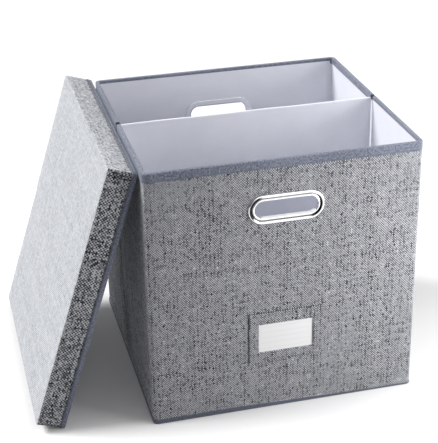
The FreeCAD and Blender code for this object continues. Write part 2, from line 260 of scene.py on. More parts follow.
def makeLinen():
    spec = linenFinish
    material, tree, shader = newMaterial("heatheredLinen", spec)
    across, along = clothPlace(tree)
    sway = cloudy(tree, joinXyz(tree, across, along), spec["swayScale"])
    across = calc(tree, "MULTIPLY_ADD", sway, spec["warpSway"] * mm, across)
    along = calc(tree, "MULTIPLY_ADD", sway, spec["weftSway"] * mm, along)
    column = inPitches(tree, across, spec["warpPitch"])
    row = inPitches(tree, along, spec["weftPitch"])
    columnIndex = calc(tree, "FLOOR", column)
    rowIndex = calc(tree, "FLOOR", row)
    # every third warp thread is a heavier one
    third = calc(tree, "DIVIDE", calc(tree, "ADD", columnIndex, 0.5), 3.0)
    heavy = calc(tree, "LESS_THAN", calc(tree, "FRACT", third), 1.0 / 3.0)
    weftOver = calc(tree, "PINGPONG", calc(tree, "ADD", columnIndex, rowIndex), 1.0)
    # the regular checker is weaker where the cloth is marked loose
    loose = attribute(tree, "loose")
    weave = calc(tree, "MULTIPLY_ADD", heavy, spec["heavyShare"], spec["weaveShare"])
    tone = shift(tree, spec["base"], weftOver, scaled(tree, weave, loose, spec["looseWeave"]))
    grainShare = calc(tree, "MULTIPLY_ADD", loose, spec["looseGrain"], spec["grainShare"])
    threadShare = calc(tree, "MULTIPLY_ADD", loose, spec["looseThread"], spec["threadShare"])
    layers = [(speckle(tree, columnIndex, rowIndex), grainShare)]
    slubs = []
    for index, travel, isWarp in ((columnIndex, along, True), (rowIndex, across, False)):
        toneSeed, slubSeed = spec["warpSeeds"] if isWarp else spec["weftSeeds"]
        layers.append((threadNoise(tree, index, travel, spec["toneRun"], toneSeed, isWarp), threadShare))
        slub = threadNoise(tree, index, travel, spec["slubRun"], slubSeed, isWarp)
        slubs.append(spread(tree, slub, *spec["slubRange"], 0.0, spec["slubShare"]))
    layers.append((speckle(tree, columnIndex, 0.5), spec["warpStreakShare"]))
    layers.append((speckle(tree, 0.5, rowIndex), spec["weftStreakShare"]))
    layers.append((cloudy(tree, joinXyz(tree, across, along), spec["cloudScale"], 3.0), spec["cloudShare"]))
    layers.append((heavy, spec["heavyTone"]))
    for layer, share in layers:
        tone = shift(tree, tone, layer, share)
    tone = calc(tree, "ADD", tone, calc(tree, "ADD", *slubs))
    # painted light makes marked cloth calmer and paler, and painted shade makes a seam dark
    paintedLight = attribute(tree, "paintedLight")
    keep = calc(tree, "MULTIPLY_ADD", paintedLight, spec["paintedLightContrast"], 1.0)
    tone = shift(tree, spec["paintedLightMiddle"], tone, keep, spec["paintedLightMiddle"])
    tone = calc(tree, "MULTIPLY_ADD", paintedLight, spec["paintedLightLift"], tone)
    tone = scaled(tree, tone, attribute(tree, "seam"), spec["paintedSeamShade"])
    tone = calc(tree, "MINIMUM", calc(tree, "MAXIMUM", tone, 0.0), 1.0)
    over = spec["overShare"]
    warpHeight = scaled(tree, swell(tree, column), weftOver, -over)
    weftRise = calc(tree, "MULTIPLY_ADD", weftOver, over, 1.0 - over)
    weftHeight = calc(tree, "MULTIPLY", swell(tree, row), weftRise)
    height = calc(tree, "MAXIMUM", warpHeight, weftHeight)
    paint(tree, shader, spec, mixTones(tree, tone, spec["dark"], spec["light"]), height)
    return material


# Binding tape: fine slate twill, painted darker where it is marked with painted shade.
tapeFinish = {
    "pitch": 0.55,
    "cellShare": 0.3,
    "ribShare": 0.2,
    "mottleScale": 400.0,
    "mottleMiddle": 0.42,
    "mottleShare": 3.4,
    "driftScale": 9.0,
    "driftShare": 1.1,
    "dark": (0.095, 0.108, 0.148),
    "light": (0.25, 0.27, 0.345),
    # near-black navy of the painted shade
    "paintedShadeTone": (0.02, 0.025, 0.05),
    "paintedShadeStrength": 0.8,
    "roughness": 0.72,
    "sheen": 0.25,
    "specular": 0.25,
    "bump": 0.1,
    "bumpStrength": 0.5,
}


def makeTape():
    spec = tapeFinish
    material, tree, shader = newMaterial("slateTape", spec)
    across, along = clothPlace(tree)
    spot = joinXyz(tree, across, along)
    diagonal = inPitches(tree, calc(tree, "ADD", across, along), spec["pitch"])
    counter = inPitches(tree, calc(tree, "SUBTRACT", across, along), spec["pitch"])
    rib = swell(tree, diagonal)
    cell = speckle(tree, calc(tree, "FLOOR", diagonal), calc(tree, "FLOOR", counter))
    mottle = cloudy(tree, spot, spec["mottleScale"])
    drift = cloudy(tree, spot, spec["driftScale"], 1.0)
    # painted shade: marked places are painted darker, towards the near-black navy
    paintedShade = attribute(tree, "paintedShade")
    tone = calc(tree, "MULTIPLY_ADD", cell, spec["cellShare"], calc(tree, "MULTIPLY", rib, spec["ribShare"]))
    tone = shift(tree, tone, mottle, spec["mottleShare"], spec["mottleMiddle"])
    tone = shift(tree, tone, drift, spec["driftShare"])
    tone = scaled(tree, tone, paintedShade, -1.0)
    shade = mixTones(tree, tone, spec["dark"], spec["light"])
    colour = mixTones(tree, calc(tree, "MULTIPLY", paintedShade, spec["paintedShadeStrength"]), shade, spec["paintedShadeTone"])
    paint(tree, shader, spec, colour, calc(tree, "MULTIPLY", rib, swell(tree, counter)))
    return material


# Lining: white felted cloth with short fibres.
liningFinish = {
    "acrossScale": 900.0,
    "alongScale": 260.0,
    "fibreShare": 0.6,
    "patchScale": 30.0,
    "patchShare": 0.5,
    "pressedScale": 420.0,
    "dark": (0.70, 0.71, 0.78),
    "light": (0.86, 0.87, 0.93),
    "roughness": 0.95,
    "sheen": 0.1,
    "specular": 0.15,
    "bump": 0.12,
    "bumpStrength": 0.35,
}


def makeLining():
    spec = liningFinish
    material, tree, shader = newMaterial("whiteLining", spec)
    across, along = clothPlace(tree)
    spot = joinXyz(tree, across, along)
    stretchedAcross = calc(tree, "MULTIPLY", across, spec["acrossScale"])
    stretchedAlong = calc(tree, "MULTIPLY", along, spec["alongScale"])
    fibres = cloudy(tree, joinXyz(tree, stretchedAcross, stretchedAlong), 1.0, 4.0, 0.7)
    patches = cloudy(tree, spot, spec["patchScale"], 3.0)
    pressed = cloudy(tree, spot, spec["pressedScale"], 1.0)
    patchTone = calc(tree, "MULTIPLY", patches, spec["patchShare"])
    tone = calc(tree, "MULTIPLY_ADD", fibres, spec["fibreShare"], patchTone)
    height = calc(tree, "MULTIPLY_ADD", fibres, spec["fibreShare"], pressed)
    paint(tree, shader, spec, mixTones(tree, tone, spec["dark"], spec["light"]), height)
    return material


# Polished hand-hole metal, painted darker down in its groove: painted shade along it and painted dark
# reflections round its ends.
chromeFinish = {
    "bright": (0.86, 0.86, 0.87),
    "hazed": (0.62, 0.62, 0.64),
    # tone of the painted shade and painted dark reflection in the groove
    "groove": (0.012, 0.012, 0.014),
    "hazeScale": 160.0,
    "hazeShare": 0.25,
    "hazeRange": (0.3, 0.7),
    "hazeRoughness": (0.08, 0.2),
    "scratchScale": 2200.0,
    "metallic": 1.0,
    "roughness": 0.13,
    "bump": 0.02,
    "bumpStrength": 0.06,
}


def makeChrome():
    spec = chromeFinish
    material, tree, shader = newMaterial("polishedSteel", spec)
    place = objectPlace(tree)
    haze = cloudy(tree, place, spec["hazeScale"], 3.0)
    worn = mixTones(tree, calc(tree, "MULTIPLY", haze, spec["hazeShare"]), spec["bright"], spec["hazed"])
    # the marked groove is painted dark: painted shade and painted dark reflection
    colour = mixTones(tree, attribute(tree, "groove"), worn, spec["groove"])
    feed(tree, shader.inputs["Roughness"], spread(tree, haze, *spec["hazeRange"], *spec["hazeRoughness"]))
    paint(tree, shader, spec, colour, cloudy(tree, place, spec["scratchScale"]))
    return material


# Bare card with faint printed rules.
cardFinish = {
    "paper": (0.95, 0.95, 0.955),
    "bright": (0.97, 0.97, 0.97),
    "rule": (0.62, 0.66, 0.72),
    "ruleShare": 0.45,
    "pitch": 8.0,
    "line": 0.28,
    "ruledHalfWidth": 33.0,
    "ruledHalfHeight": 17.0,
    "fibreScale": 700.0,
    "roughness": 0.6,
    "specular": 0.35,
    "bump": 0.04,
    "bumpStrength": 0.15,
}


def makeCard():
    spec = cardFinish
    material, tree, shader = newMaterial("labelCardPaper", spec)
    place = objectPlace(tree)
    across, depth, height = splitXyz(tree, place)
    low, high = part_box("label_card")
    rise = calc(tree, "SUBTRACT", height, (low.z + high.z) / 2)
    near = calc(tree, "PINGPONG", rise, spec["pitch"] * mm / 2)
    line = spread(tree, near, spec["line"] * mm / 2, spec["line"] * mm, 1.0, 0.0)
    for value, half in ((across, spec["ruledHalfWidth"]), (rise, spec["ruledHalfHeight"])):
        inside = calc(tree, "LESS_THAN", calc(tree, "ABSOLUTE", value), half * mm)
        line = calc(tree, "MULTIPLY", line, inside)
    fibre = cloudy(tree, place, spec["fibreScale"], 4.0)
    paper = mixTones(tree, fibre, spec["paper"], spec["bright"])
    colour = mixTones(tree, calc(tree, "MULTIPLY", line, spec["ruleShare"]), paper, spec["rule"])
    paint(tree, shader, spec, colour, fibre)
    return material


# Recycled grey board with flecks, inside the walls.
boardFinish = {
    "dark": (0.22, 0.21, 0.19),
    "light": (0.38, 0.36, 0.33),
    "fleck": (0.12, 0.12, 0.13),
    "pulpScale": 180.0,
    "fleckScale": 900.0,
    "fleckRange": (0.62, 0.7),
    "roughness": 0.9,
    "specular": 0.2,
    "bump": 0.1,
    "bumpStrength": 0.3,
}


def makeBoard():
    spec = boardFinish
    material, tree, shader = newMaterial("greyBoard", spec)
    place = objectPlace(tree)
    pulp = cloudy(tree, place, spec["pulpScale"], 6.0, 0.65)
    flecks = spread(tree, cloudy(tree, place, spec["fleckScale"]), *spec["fleckRange"], 0.0, 1.0)
    tone = mixTones(tree, pulp, spec["dark"], spec["light"])
    paint(tree, shader, spec, mixTones(tree, flecks, tone, spec["fleck"]), pulp)
    return material


# Ribbed ribbon of the lift tab, in the colours of the tape.
ribbonFinish = {
    "ribPitch": 0.9,
    "threadPitch": 0.4,
    "cellShare": 0.4,
    "ribShare": 0.6,
    "roughness": 0.7,
    "sheen": 0.2,
    "specular": 0.25,
    "bump": 0.2,
    "bumpStrength": 0.6,
}


def makeRibbon():
    spec = ribbonFinish
    material, tree, shader = newMaterial("ribbedRibbon", spec)
    across, along = clothPlace(tree)
    ribs = inPitches(tree, along, spec["ribPitch"])
    threads = inPitches(tree, across, spec["threadPitch"])
    rise = swell(tree, ribs)
    cell = speckle(tree, calc(tree, "FLOOR", threads), calc(tree, "FLOOR", ribs))
    tone = calc(tree, "MULTIPLY_ADD", cell, spec["cellShare"], calc(tree, "MULTIPLY", rise, spec["ribShare"]))
    paint(tree, shader, spec, mixTones(tree, tone, tapeFinish["dark"], tapeFinish["light"]), rise)
    return material


# Sewing thread with its twist.
threadFinish = {
    "slate": ((0.035, 0.04, 0.06), (0.09, 0.10, 0.14)),
    "white": ((0.62, 0.62, 0.66), (0.82, 0.82, 0.86)),
    "twistScale": 2600.0,
    "roughness": 0.6,
    "sheen": 0.3,
    "bump": 0.08,
    "bumpStrength": 0.4,
}


def makeThread(colour):
    material, tree, shader = newMaterial(f"{colour}Thread", threadFinish)
    twist = cloudy(tree, objectPlace(tree), threadFinish["twistScale"])
    paint(tree, shader, threadFinish, mixTones(tree, twist, *threadFinish[colour]), twist)
    return material


linen = makeLinen()
slateTape = makeTape()
lining = makeLining()
chrome = makeChrome()
cardPaper = makeCard()
greyBoard = makeBoard()
ribbon = makeRibbon()
slateThread = makeThread("slate")
whiteThread = makeThread("white")
print("materials made")


# Turns points and faces, in millimetres, into an object; uvs holds the cloth place of each face corner.
def newPiece(name, points, faces, finish, uvs=(), sharpAngle=40.0, merge=0.0):
    mesh = bpy.data.meshes.new(name)
    mesh.from_pydata([Vector(point) * mm for point in points], [], faces)
    if uvs:
        layer = mesh.uv_layers.new(name="cloth")
        layer.data.foreach_set("uv", [value * mm for pair in uvs for value in pair])
    if merge:
        work = bmesh.new()
        work.from_mesh(mesh)
        bmesh.ops.remove_doubles(work, verts=work.verts, dist=merge * mm)
        bmesh.ops.dissolve_degenerate(work, edges=work.edges, dist=1e-7)
        work.to_mesh(mesh)
        work.free()
    mesh.shade_smooth()
    mesh.set_sharp_from_angle(angle=math.radians(sharpAngle))
    mesh.materials.append(finish)
    return linkPiece(name, mesh)


def linkPiece(name, mesh):
    piece = bpy.data.objects.new(name, mesh)
    scene.collection.objects.link(piece)
    return piece


# Writes a shade from 0 to 1 on every point, worked out from its place in millimetres.
def markPoints(piece, name, shareAt):
    shade = piece.data.attributes.new(name, "FLOAT", "POINT")
    shade.data.foreach_set("value", [shareAt(vertex.co / mm) for vertex in piece.data.vertices])


def dress(piece, body, slotName, *nodes):
    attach(piece, body)
    if nodes:
        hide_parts(*nodes)


# Skins a grid of rows of points; uvAt gives the cloth place of a row and column.
def skin(name, rows, finish, uvAt, endCaps=False, merge=0.0, sharpAngle=40.0, gapAfter=None):
    count = len(rows[0])
    faces = []
    uvs = []
    for k in range(len(rows)):
        if k == gapAfter:
            continue
        for i in range(count - 1 if endCaps else count):
            corners = ((k, i), (k, i + 1), (k + 1, i + 1), (k + 1, i))
            faces.append([(r % len(rows)) * count + (c % count) for r, c in corners])
            uvs += [uvAt(r, c, i) for r, c in corners]
    if endCaps:
        for column, order in ((0, 1), (count - 1, -1)):
            face = [r * count + column for r in range(len(rows))][::order]
            faces.append(face)
            uvs += [uvAt(index // count, column, column) for index in face]
    return newPiece(name, [point for row in rows for point in row], faces, finish, uvs, sharpAngle, merge)


# The four sides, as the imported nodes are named.
sideNames = ("front", "back", "left", "right")

# Stations round a rounded rectangle, counter-clockwise from above: front, right, back, left.
alongSides = (Vector((1, 0)), Vector((0, 1)), Vector((-1, 0)), Vector((0, -1)))
outOfSides = (Vector((0, -1)), Vector((1, 0)), Vector((0, 1)), Vector((-1, 0)))


# A station holds its side, its share of the half side, and its turn round the corner after it.
def stationsOf(plan):
    stations = []
    for side in range(4):
        half = (plan["halfX"], plan["halfY"])[side % 2] - plan["radius"]
        fine = plan.get("fine", 0.0) if side % 2 else 0.0
        places = sidePlaces(half, plan["step"], fine, plan.get("fineStep", 2.0))
        stations += [(side, place / half, 0.0) for place in places]
        stations += [(side, 1.0, step / plan["arcSteps"]) for step in range(1, plan["arcSteps"])]
    return stations


# Places along a side from its one end to its other, closer together near its middle.
def sidePlaces(half, step, fine, fineStep):
    places = evenly(-half, -fine, step) + evenly(-fine, fine, fineStep) + evenly(fine, half, step)
    kept = [places[0]]
    for value in places[1:]:
        if value - kept[-1] > 0.01:
            kept.append(value)
    return kept


def evenly(low, high, step):
    count = max(1, round((high - low) / step))
    return [low + (high - low) * n / count for n in range(count + 1)]


def onSideWall(station):
    return station[0] % 2 == 1 and station[2] == 0.0


def stationPoint(plan, station, inset):
    side, share, turn = station
    halves = (plan["halfX"] - inset, plan["halfY"] - inset)
    halfAlong, halfOut = (halves[side % 2], halves[1 - side % 2])
    radius = min(max(plan["radius"] - inset, plan.get("innerRadius", 0.4)), halfAlong, halfOut)
    angle = turn * math.pi / 2
    out = outOfSides[side]
    along = alongSides[side]
    normal = out * math.cos(angle) + along * math.sin(angle)
    return along * (share * (halfAlong - radius)) + out * (halfOut - radius) + normal * radius, normal


# Lengths along a closed line of points, up to each point and back to the first.
def runsAlong(points):
    runs = [0.0]
    for here, there in zip(points, points[1:] + points[:1]):
        runs.append(runs[-1] + (Vector(there) - Vector(here)).length)
    return runs


def runsOf(plan):
    return runsAlong([stationPoint(plan, station, 0.0)[0] for station in stationsOf(plan)])


# Lofts a closed section of (inset, height) points round a plan; shape moves each point.
def loft(name, plan, section, finish, shape=None, uvAt=None, merge=0.0, sharpAngle=50.0, gapAfter=None):
    stations = stationsOf(plan)
    runs = runsOf(plan)
    heights = runsAlong(section)
    rows = []
    for inset, height in section:
        row = []
        for station in stations:
            spot, normal = stationPoint(plan, station, inset)
            point = Vector((spot.x, spot.y, height))
            if shape:
                point = shape(point, Vector((normal.x, normal.y, 0.0)), station, inset)
            row.append(point)
        rows.append(row)

    def placeOf(k, i, base):
        if uvAt:
            return uvAt(rows[k % len(rows)][i % len(stations)], stations[base % len(stations)])
        return runs[i], heights[k]

    return skin(name, rows, finish, placeOf, merge=merge, sharpAngle=sharpAngle, gapAfter=gapAfter)


# A cloth wall round a plan, from its bottom to its top and down again on its inner face.
def loftWall(name, plan, finish, shape):
    heights = evenly(plan["bottom"], plan["top"], plan["rowStep"])
    section = [(0.0, height) for height in heights]
    section += [(plan["thickness"], height) for height in reversed(heights)]
    return loft(name, plan, section, finish, shape)


def arc(centre, radius, start, stop, steps):
    points = []
    for n in range(steps + 1):
        angle = math.radians(start + (stop - start) * n / steps)
        points.append((centre[0] + radius * math.cos(angle), centre[1] + radius * math.sin(angle)))
    return points


def smooth(share):
    share = min(max(share, 0.0), 1.0)
    return share * share * (3.0 - 2.0 * share)


# Rises to 1 past a low value and falls again past a high one, each as (value, width).
def band(value, low, high):
    return smooth((value - low[0]) / low[1]) * (1.0 - smooth((value - high[0]) / high[1]))


def hump(distance, width):
    return math.exp(-((distance / width) ** 2))


# Cloth wrap of the case: one width of linen round all four walls.
coverLow, coverHigh = nodeBox("left_cover")[0], nodeBox("right_cover")[1]
caseCloth = {
    "halfX": coverHigh.x,
    "halfY": nodeBox("back_cover")[1].y,
    "radius": 6.0,
    "bottom": coverLow.z,
    "top": coverHigh.z,
    "thickness": 0.7,
    "step": 6.0,
    "rowStep": 6.0,
    "fine": 54.0,
    "fineStep": 2.0,
    "arcSteps": 6,
    "foldHalf": 3.5,
    "creaseDepth": 1.1,
    "leftBulge": 4.0,
    "rightBulge": 2.2,
    "lowBellyShare": 0.45,
    "highBellyShare": 0.5,
    "undulation": 0.28,
    "stand": 0.12,
    "edgeShare": 0.08,
    "wrinkleSway": 4.0,
    "leftPaintedLight": (0.4, -20.0, 46.0),
    "rightPaintedLight": (0.2, 0.0, 26.0),
}
# for each wrinkle its place across the fold, the height of its ridge, its width and a seed
foldWrinkles = (
    (-31.0, 0.7, 3.6, 1.3),
    (-19.0, 1.1, 3.0, 2.7),
    (-10.0, 0.8, 2.4, 4.1),
    (9.0, 0.9, 2.6, 5.6),
    (17.0, 1.3, 3.2, 6.9),
    (28.0, 0.8, 3.8, 8.2),
    (41.0, 0.6, 4.4, 9.4),
)


# How far the rim dips at the fold of a side wall, and how much further the cloth under it.
rimNotch = {
    "half": 3.1,
    "depth": 4.0,
    "clear": 0.6,
    "reach": 6.5,
    "top": nodeBox("left_rim_tape")[1].z,
}


def notchShare(point, station):
    if not onSideWall(station):
        return 0.0
    high = smooth((point.z - rimNotch["top"] + rimNotch["reach"]) / 5.0)
    return high * (1.0 - smooth((abs(point.y) - rimNotch["half"] + 1.4) / 1.6))


def dipCloth(point, station):
    point.z -= (rimNotch["depth"] + rimNotch["clear"]) * notchShare(point, station)


def shapeCaseCloth(point, normal, station, inset):
    spec = caseCloth
    height = point.z
    dipCloth(point, station)
    share = (height - spec["bottom"]) / (spec["top"] - spec["bottom"])
    ease = smooth(share / spec["edgeShare"]) * smooth((1.0 - share) / spec["edgeShare"])
    waves = noise.noise(point * 0.013) + 0.5 * noise.noise(point * 0.035)
    push = waves * spec["undulation"] + spec["stand"]
    if onSideWall(station):
        bulge = spec["leftBulge"] if station[0] == 3 else spec["rightBulge"]
        belly = smooth(share / spec["lowBellyShare"]) * smooth((1.0 - share) / spec["highBellyShare"])
        push += bulge * belly * (1.0 - smooth(abs(point.y) / spec["halfY"]))
        push -= spec["creaseDepth"] * hump(point.y, spec["foldHalf"])
        for middle, rise, width, seed in foldWrinkles:
            sway = spec["wrinkleSway"] * noise.noise(Vector((height * 0.012, seed, 0.0)))
            fade = smooth(0.5 + 1.6 * noise.noise(Vector((height * 0.009, seed, 5.0))))
            push += rise * fade * hump(point.y - middle - sway, width)
    return point + normal * (push * ease)


# Hand holes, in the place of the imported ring; insets count from the rim of its flange.
grommetLow, grommetHigh = nodeBox("front_handle_grommet")
handle = {
    "halfLength": grommetHigh.x,
    "radius": (grommetHigh.z - grommetLow.z) / 2,
    "centre": (grommetHigh.z + grommetLow.z) / 2,
    "face": caseCloth["halfY"],
    "ring": 8.3,
    "barrelWall": 1.0,
    "lip": 4.3,
    "proud": 2.8,
    "grooveWidth": 1.5,
    "grooveFloor": 0.9,
    "innerProud": 2.1,
    "depth": 5.0,
    "stationsPerEnd": 40,
    "runStations": 12,
    "cutInset": 6.4,
    "cutOverrun": 12.0,
}
handleReach = handle["halfLength"] - handle["radius"]


# Points round the hand hole, counter-clockwise seen from the front, at an inset.
def obround(inset):
    radius = handle["radius"] - inset
    points = []
    for sign, start in ((1, -90.0), (-1, 90.0)):
        end = arc((0.0, 0.0), radius, start, start + 180.0, handle["stationsPerEnd"])
        points += [(sign * handleReach + x, z) for x, z in end]
        for n in range(1, handle["runStations"]):
            share = 1.0 - 2.0 * n / handle["runStations"]
            points.append((sign * handleReach * share, sign * radius))
    return [(x, z + handle["centre"]) for x, z in points]


def cutHandHoles(piece):
    outline = obround(handle["cutInset"])
    count = len(outline)
    reach = handle["face"] + handle["cutOverrun"]
    points = [(x, -reach, z) for x, z in outline] + [(x, reach, z) for x, z in outline]
    faces = [[n, n + count, (n + 1) % count + count, (n + 1) % count] for n in range(count)]
    faces += [list(range(count)), list(range(2 * count - 1, count - 1, -1))]
    cutter = newPiece("handCutter", points, faces, greyBoard)
    cut = piece.modifiers.new("handHoles", "BOOLEAN")
    cut.operation = "DIFFERENCE"
    cut.solver = "EXACT"
    cut.object = cutter
    bakeModifiers(piece)
    bpy.data.objects.remove(cutter)


def bakeModifiers(piece):
    bpy.context.view_layer.update()
    evaluated = piece.evaluated_get(bpy.context.evaluated_depsgraph_get())
    mesh = bpy.data.meshes.new_from_object(evaluated)
    piece.modifiers.clear()
    piece.data = mesh


# Painted light: the cloth is painted calmer and paler along the folds of the side walls, most on the left.
def foldPaintedLight(spot):
    share, middle, width = caseCloth["rightPaintedLight"] if spot.x > 0.0 else caseCloth["leftPaintedLight"]
    onSide = smooth((abs(spot.x) - caseCloth["halfX"] + 6.0) / 3.0)
    return share * onSide * hump(spot.y - middle, width)


wallBoards = ["front_board", "back_board", "left_front_board", "left_rear_board"]
wallBoards += ["right_front_board", "right_rear_board"]


# A wall cloth is a plain strip, as long as the way round the walls; this only works out that length, and
# keeps nothing.
def cutWall(plan):
    runsOf(plan)[-1]


caseWrap = loftWall("caseCloth", caseCloth, linen, shapeCaseCloth)
cutHandHoles(caseWrap)
# painted light along the folds
markPoints(caseWrap, "paintedLight", foldPaintedLight)
dress(caseWrap, "case", "linen_cloth", *[f"{side}_cover" for side in sideNames])
cutWall(caseCloth)
print("case cloth made with", len(caseWrap.data.polygons), "faces")

# Lining of the four walls, pressed into the gap of each fold.
caseLining = {
    "halfX": -nodeBox("left_liner")[0].x,
    "halfY": nodeBox("back_liner")[1].y,
    "radius": 1.6,
    "innerRadius": 1.0,
    "bottom": nodeBox("front_liner")[0].z,
    "top": nodeBox("front_liner")[1].z,
    "thickness": 0.6,
    "step": 9.0,
    "rowStep": 9.0,
    "fine": 30.0,
    "fineStep": 2.0,
    "arcSteps": 4,
    "creaseDepth": 1.4,
    "sink": 0.12,
    "wrinkleShare": 0.35,
}


def shapeCaseLining(point, normal, station, inset):
    dipCloth(point, station)
    push = -caseLining["sink"] - 0.1 * noise.noise(point * 0.02)
    if onSideWall(station):
        push += caseLining["creaseDepth"] * hump(point.y, caseCloth["foldHalf"])
        for middle, rise, width, seed in foldWrinkles[1:6]:
            fade = smooth(0.4 + 1.5 * noise.noise(Vector((point.z * 0.008, seed, 11.0))))
            push -= caseLining["wrinkleShare"] * rise * fade * hump(point.y - middle, width)
    return point + normal * push


innerLining = loftWall("caseLining", caseLining, lining, shapeCaseLining)
cutHandHoles(innerLining)
dress(innerLining, "case", "lining", *[f"{side}_liner" for side in sideNames])
cutWall(caseLining)

# Binding tape over the rim: one strip whose end laps over its start beside the front left corner.
rimLow, rimHigh = nodeBox("left_rim_tape")
rimTape = {
    "halfX": -rimLow.x,
    "halfY": nodeBox("back_rim_tape")[1].y,
    "radius": 8.0,
    "innerRadius": 1.2,
    "bottom": rimLow.z,
    "top": rimHigh.z,
    "innerBottom": 360.6,
    "rearInnerBottom": 356.0,
    "thickness": 0.8,
    "wall": 5.6,
    "edgeRadius": 1.5,
    "step": 4.0,
    "fine": 14.0,
    "fineStep": 0.7,
    "arcSteps": 8,
    "lap": 0.6,
    "lapEnd": 12.0,
    "lapBehind": 30.0,
    "wave": 0.12,
    "pinchShare": 0.22,
}


def shapeRimTape(point, normal, station, inset):
    spec = rimTape
    inner = inset > spec["wall"] / 2
    if inner and point.z < spec["top"] - 3.0 and station[0] % 2 and point.y > rimNotch["half"] + 1.0:
        point.z += spec["rearInnerBottom"] - spec["innerBottom"]
    near = notchShare(point, station)
    point.z -= rimNotch["depth"] * near
    centre = spec["halfX"] - spec["wall"] / 2
    point.x += (math.copysign(centre, point.x) - point.x) * spec["pinchShare"] * near
    wave = spec["wave"] * noise.noise(Vector((point.x * 0.05, point.y * 0.05, 3.0 if inner else 1.0)))
    if inner:
        return point - normal * wave
    onFront = station[0] == 0 and point.x < spec["lapEnd"] - spec["halfX"]
    behind = spec["lapBehind"] - spec["halfY"] - point.y
    if onFront:
        wave += spec["lap"]
    elif station[0] == 3 and behind > 0.0:
        wave += spec["lap"] * smooth(behind / 14.0)
    return point + normal * wave


def makeRimTape():
    spec = rimTape
    corner = spec["edgeRadius"]
    thin = spec["thickness"]
    top = spec["top"]
    wall = spec["wall"]
    low = spec["bottom"]
    innerLow = spec["innerBottom"]
    section = [(0.25, low), (0.0, low + 0.5), (0.0, low + 4.0), (0.0, top - corner)]
    section += arc((corner, top - corner), corner, 180, 90, 5)[1:]
    section += arc((wall - corner, top - corner), corner, 90, 0, 5)
    section += [(wall, innerLow + 0.4), (wall - 0.2, innerLow), (wall - thin, innerLow)]
    section += [(wall - thin, top - thin), (thin, top - thin), (thin, low)]
    return loft("rimTape", spec, section, slateTape, shapeRimTape)


# Painted shade: dark in the pinch of the notch at each fold, where the notch lies in shade.
def rimNotchPaintedShade(spot):
    onSide = smooth((abs(spot.x) - rimTape["halfX"] + rimTape["wall"] + 1.0) / 0.6)
    return onSide * (1.0 - smooth((abs(spot.y) - rimNotch["half"] - 0.2) / 2.0))


rimBand = makeRimTape()
# paints shade into the notches
markPoints(rimBand, "paintedShade", rimNotchPaintedShade)
dress(rimBand, "case", "binding_tape", *[f"{side}_rim_tape" for side in sideNames])

# Binding tape round the foot, turned under the floor.
baseTape = {
    "halfX": -nodeBox("left_base_tape")[0].x,
    "halfY": nodeBox("back_base_tape")[1].y,
    "radius": 7.0,
    "height": nodeBox("left_base_tape")[1].z,
    "under": 9.8,
    "thickness": 0.8,
    "edgeRadius": 1.4,
    "step": 8.0,
    "arcSteps": 8,
    "lowEnd": 2.6,
    "taperFrom": -90.0,
    "taperTo": 150.0,
    "wave": 0.5,
    # painted shade over the whole foot tape
    "footPaintedShade": 0.35,
}


# The tape runs lower along the front, towards its right end.
def footTaper(x, y):
    spec = baseTape
    if y > -spec["halfY"] + spec["radius"]:
        return 1.0
    share = (x - spec["taperFrom"]) / (spec["taperTo"] - spec["taperFrom"])
    return 1.0 - (1.0 - spec["lowEnd"] / spec["height"]) * smooth(share)


def shapeBaseTape(point, normal, station, inset):
    if inset > 1.0 or point.z < 1.5:
        return point
    if point.z > 3.0:
        point.z *= footTaper(point.x, point.y)
    wave = baseTape["wave"] * noise.noise(Vector((point.x * 0.03, point.y * 0.03, 7.0)))
    point.z += wave * (point.z / baseTape["height"])
    return point + normal * (0.12 * noise.noise(point * 0.05))


def makeBaseTape():
    spec = baseTape
    corner = spec["edgeRadius"]
    thin = spec["thickness"]
    height = spec["height"]
    section = [(spec["under"], 0.0)] + arc((corner, corner), corner, 270, 180, 5)
    section += [(0.0, height - 0.5), (0.25, height), (thin, height), (thin, thin), (spec["under"], thin)]
    return loft("baseTape", spec, section, slateTape, shapeBaseTape)


footBand = makeBaseTape()
# Painted shade: the whole foot tape is painted a little darker.
markPoints(footBand, "paintedShade", lambda spot: baseTape["footPaintedShade"])
dress(footBand, "case", "binding_tape", *[f"{side}_base_tape" for side in sideNames])

# Floor cloth under the case, within the turned-under tape.
floorCloth = {
    "halfX": baseTape["halfX"] - 1.0,
    "halfY": baseTape["halfY"] - 1.0,
    "radius": 4.0,
    "step": 30.0,
    "arcSteps": 4,
    "edge": 10.0,
    "edgeRise": 0.85,
    "insetStep": 20.0,
    "top": nodeBox("floor_cloth")[1].z,
}


def makeFloorCloth():
    spec = floorCloth
    insets = evenly(spec["edge"], spec["halfY"], spec["insetStep"])
    section = [(inset, 0.0) for inset in reversed(insets)]
    section += [(spec["edge"], spec["edgeRise"]), (0.0, spec["edgeRise"]), (0.0, spec["top"])]
    section += [(inset, spec["top"]) for inset in insets]
    return loft("floorCloth", spec, section, linen, uvAt=lambda point, station: (point.x, point.y),
                merge=0.01, sharpAngle=40.0, gapAfter=len(section) - 1)


underside = makeFloorCloth()
dress(underside, "case", "linen_cloth", "floor_cloth")
print("lining, tapes and floor cloth made")


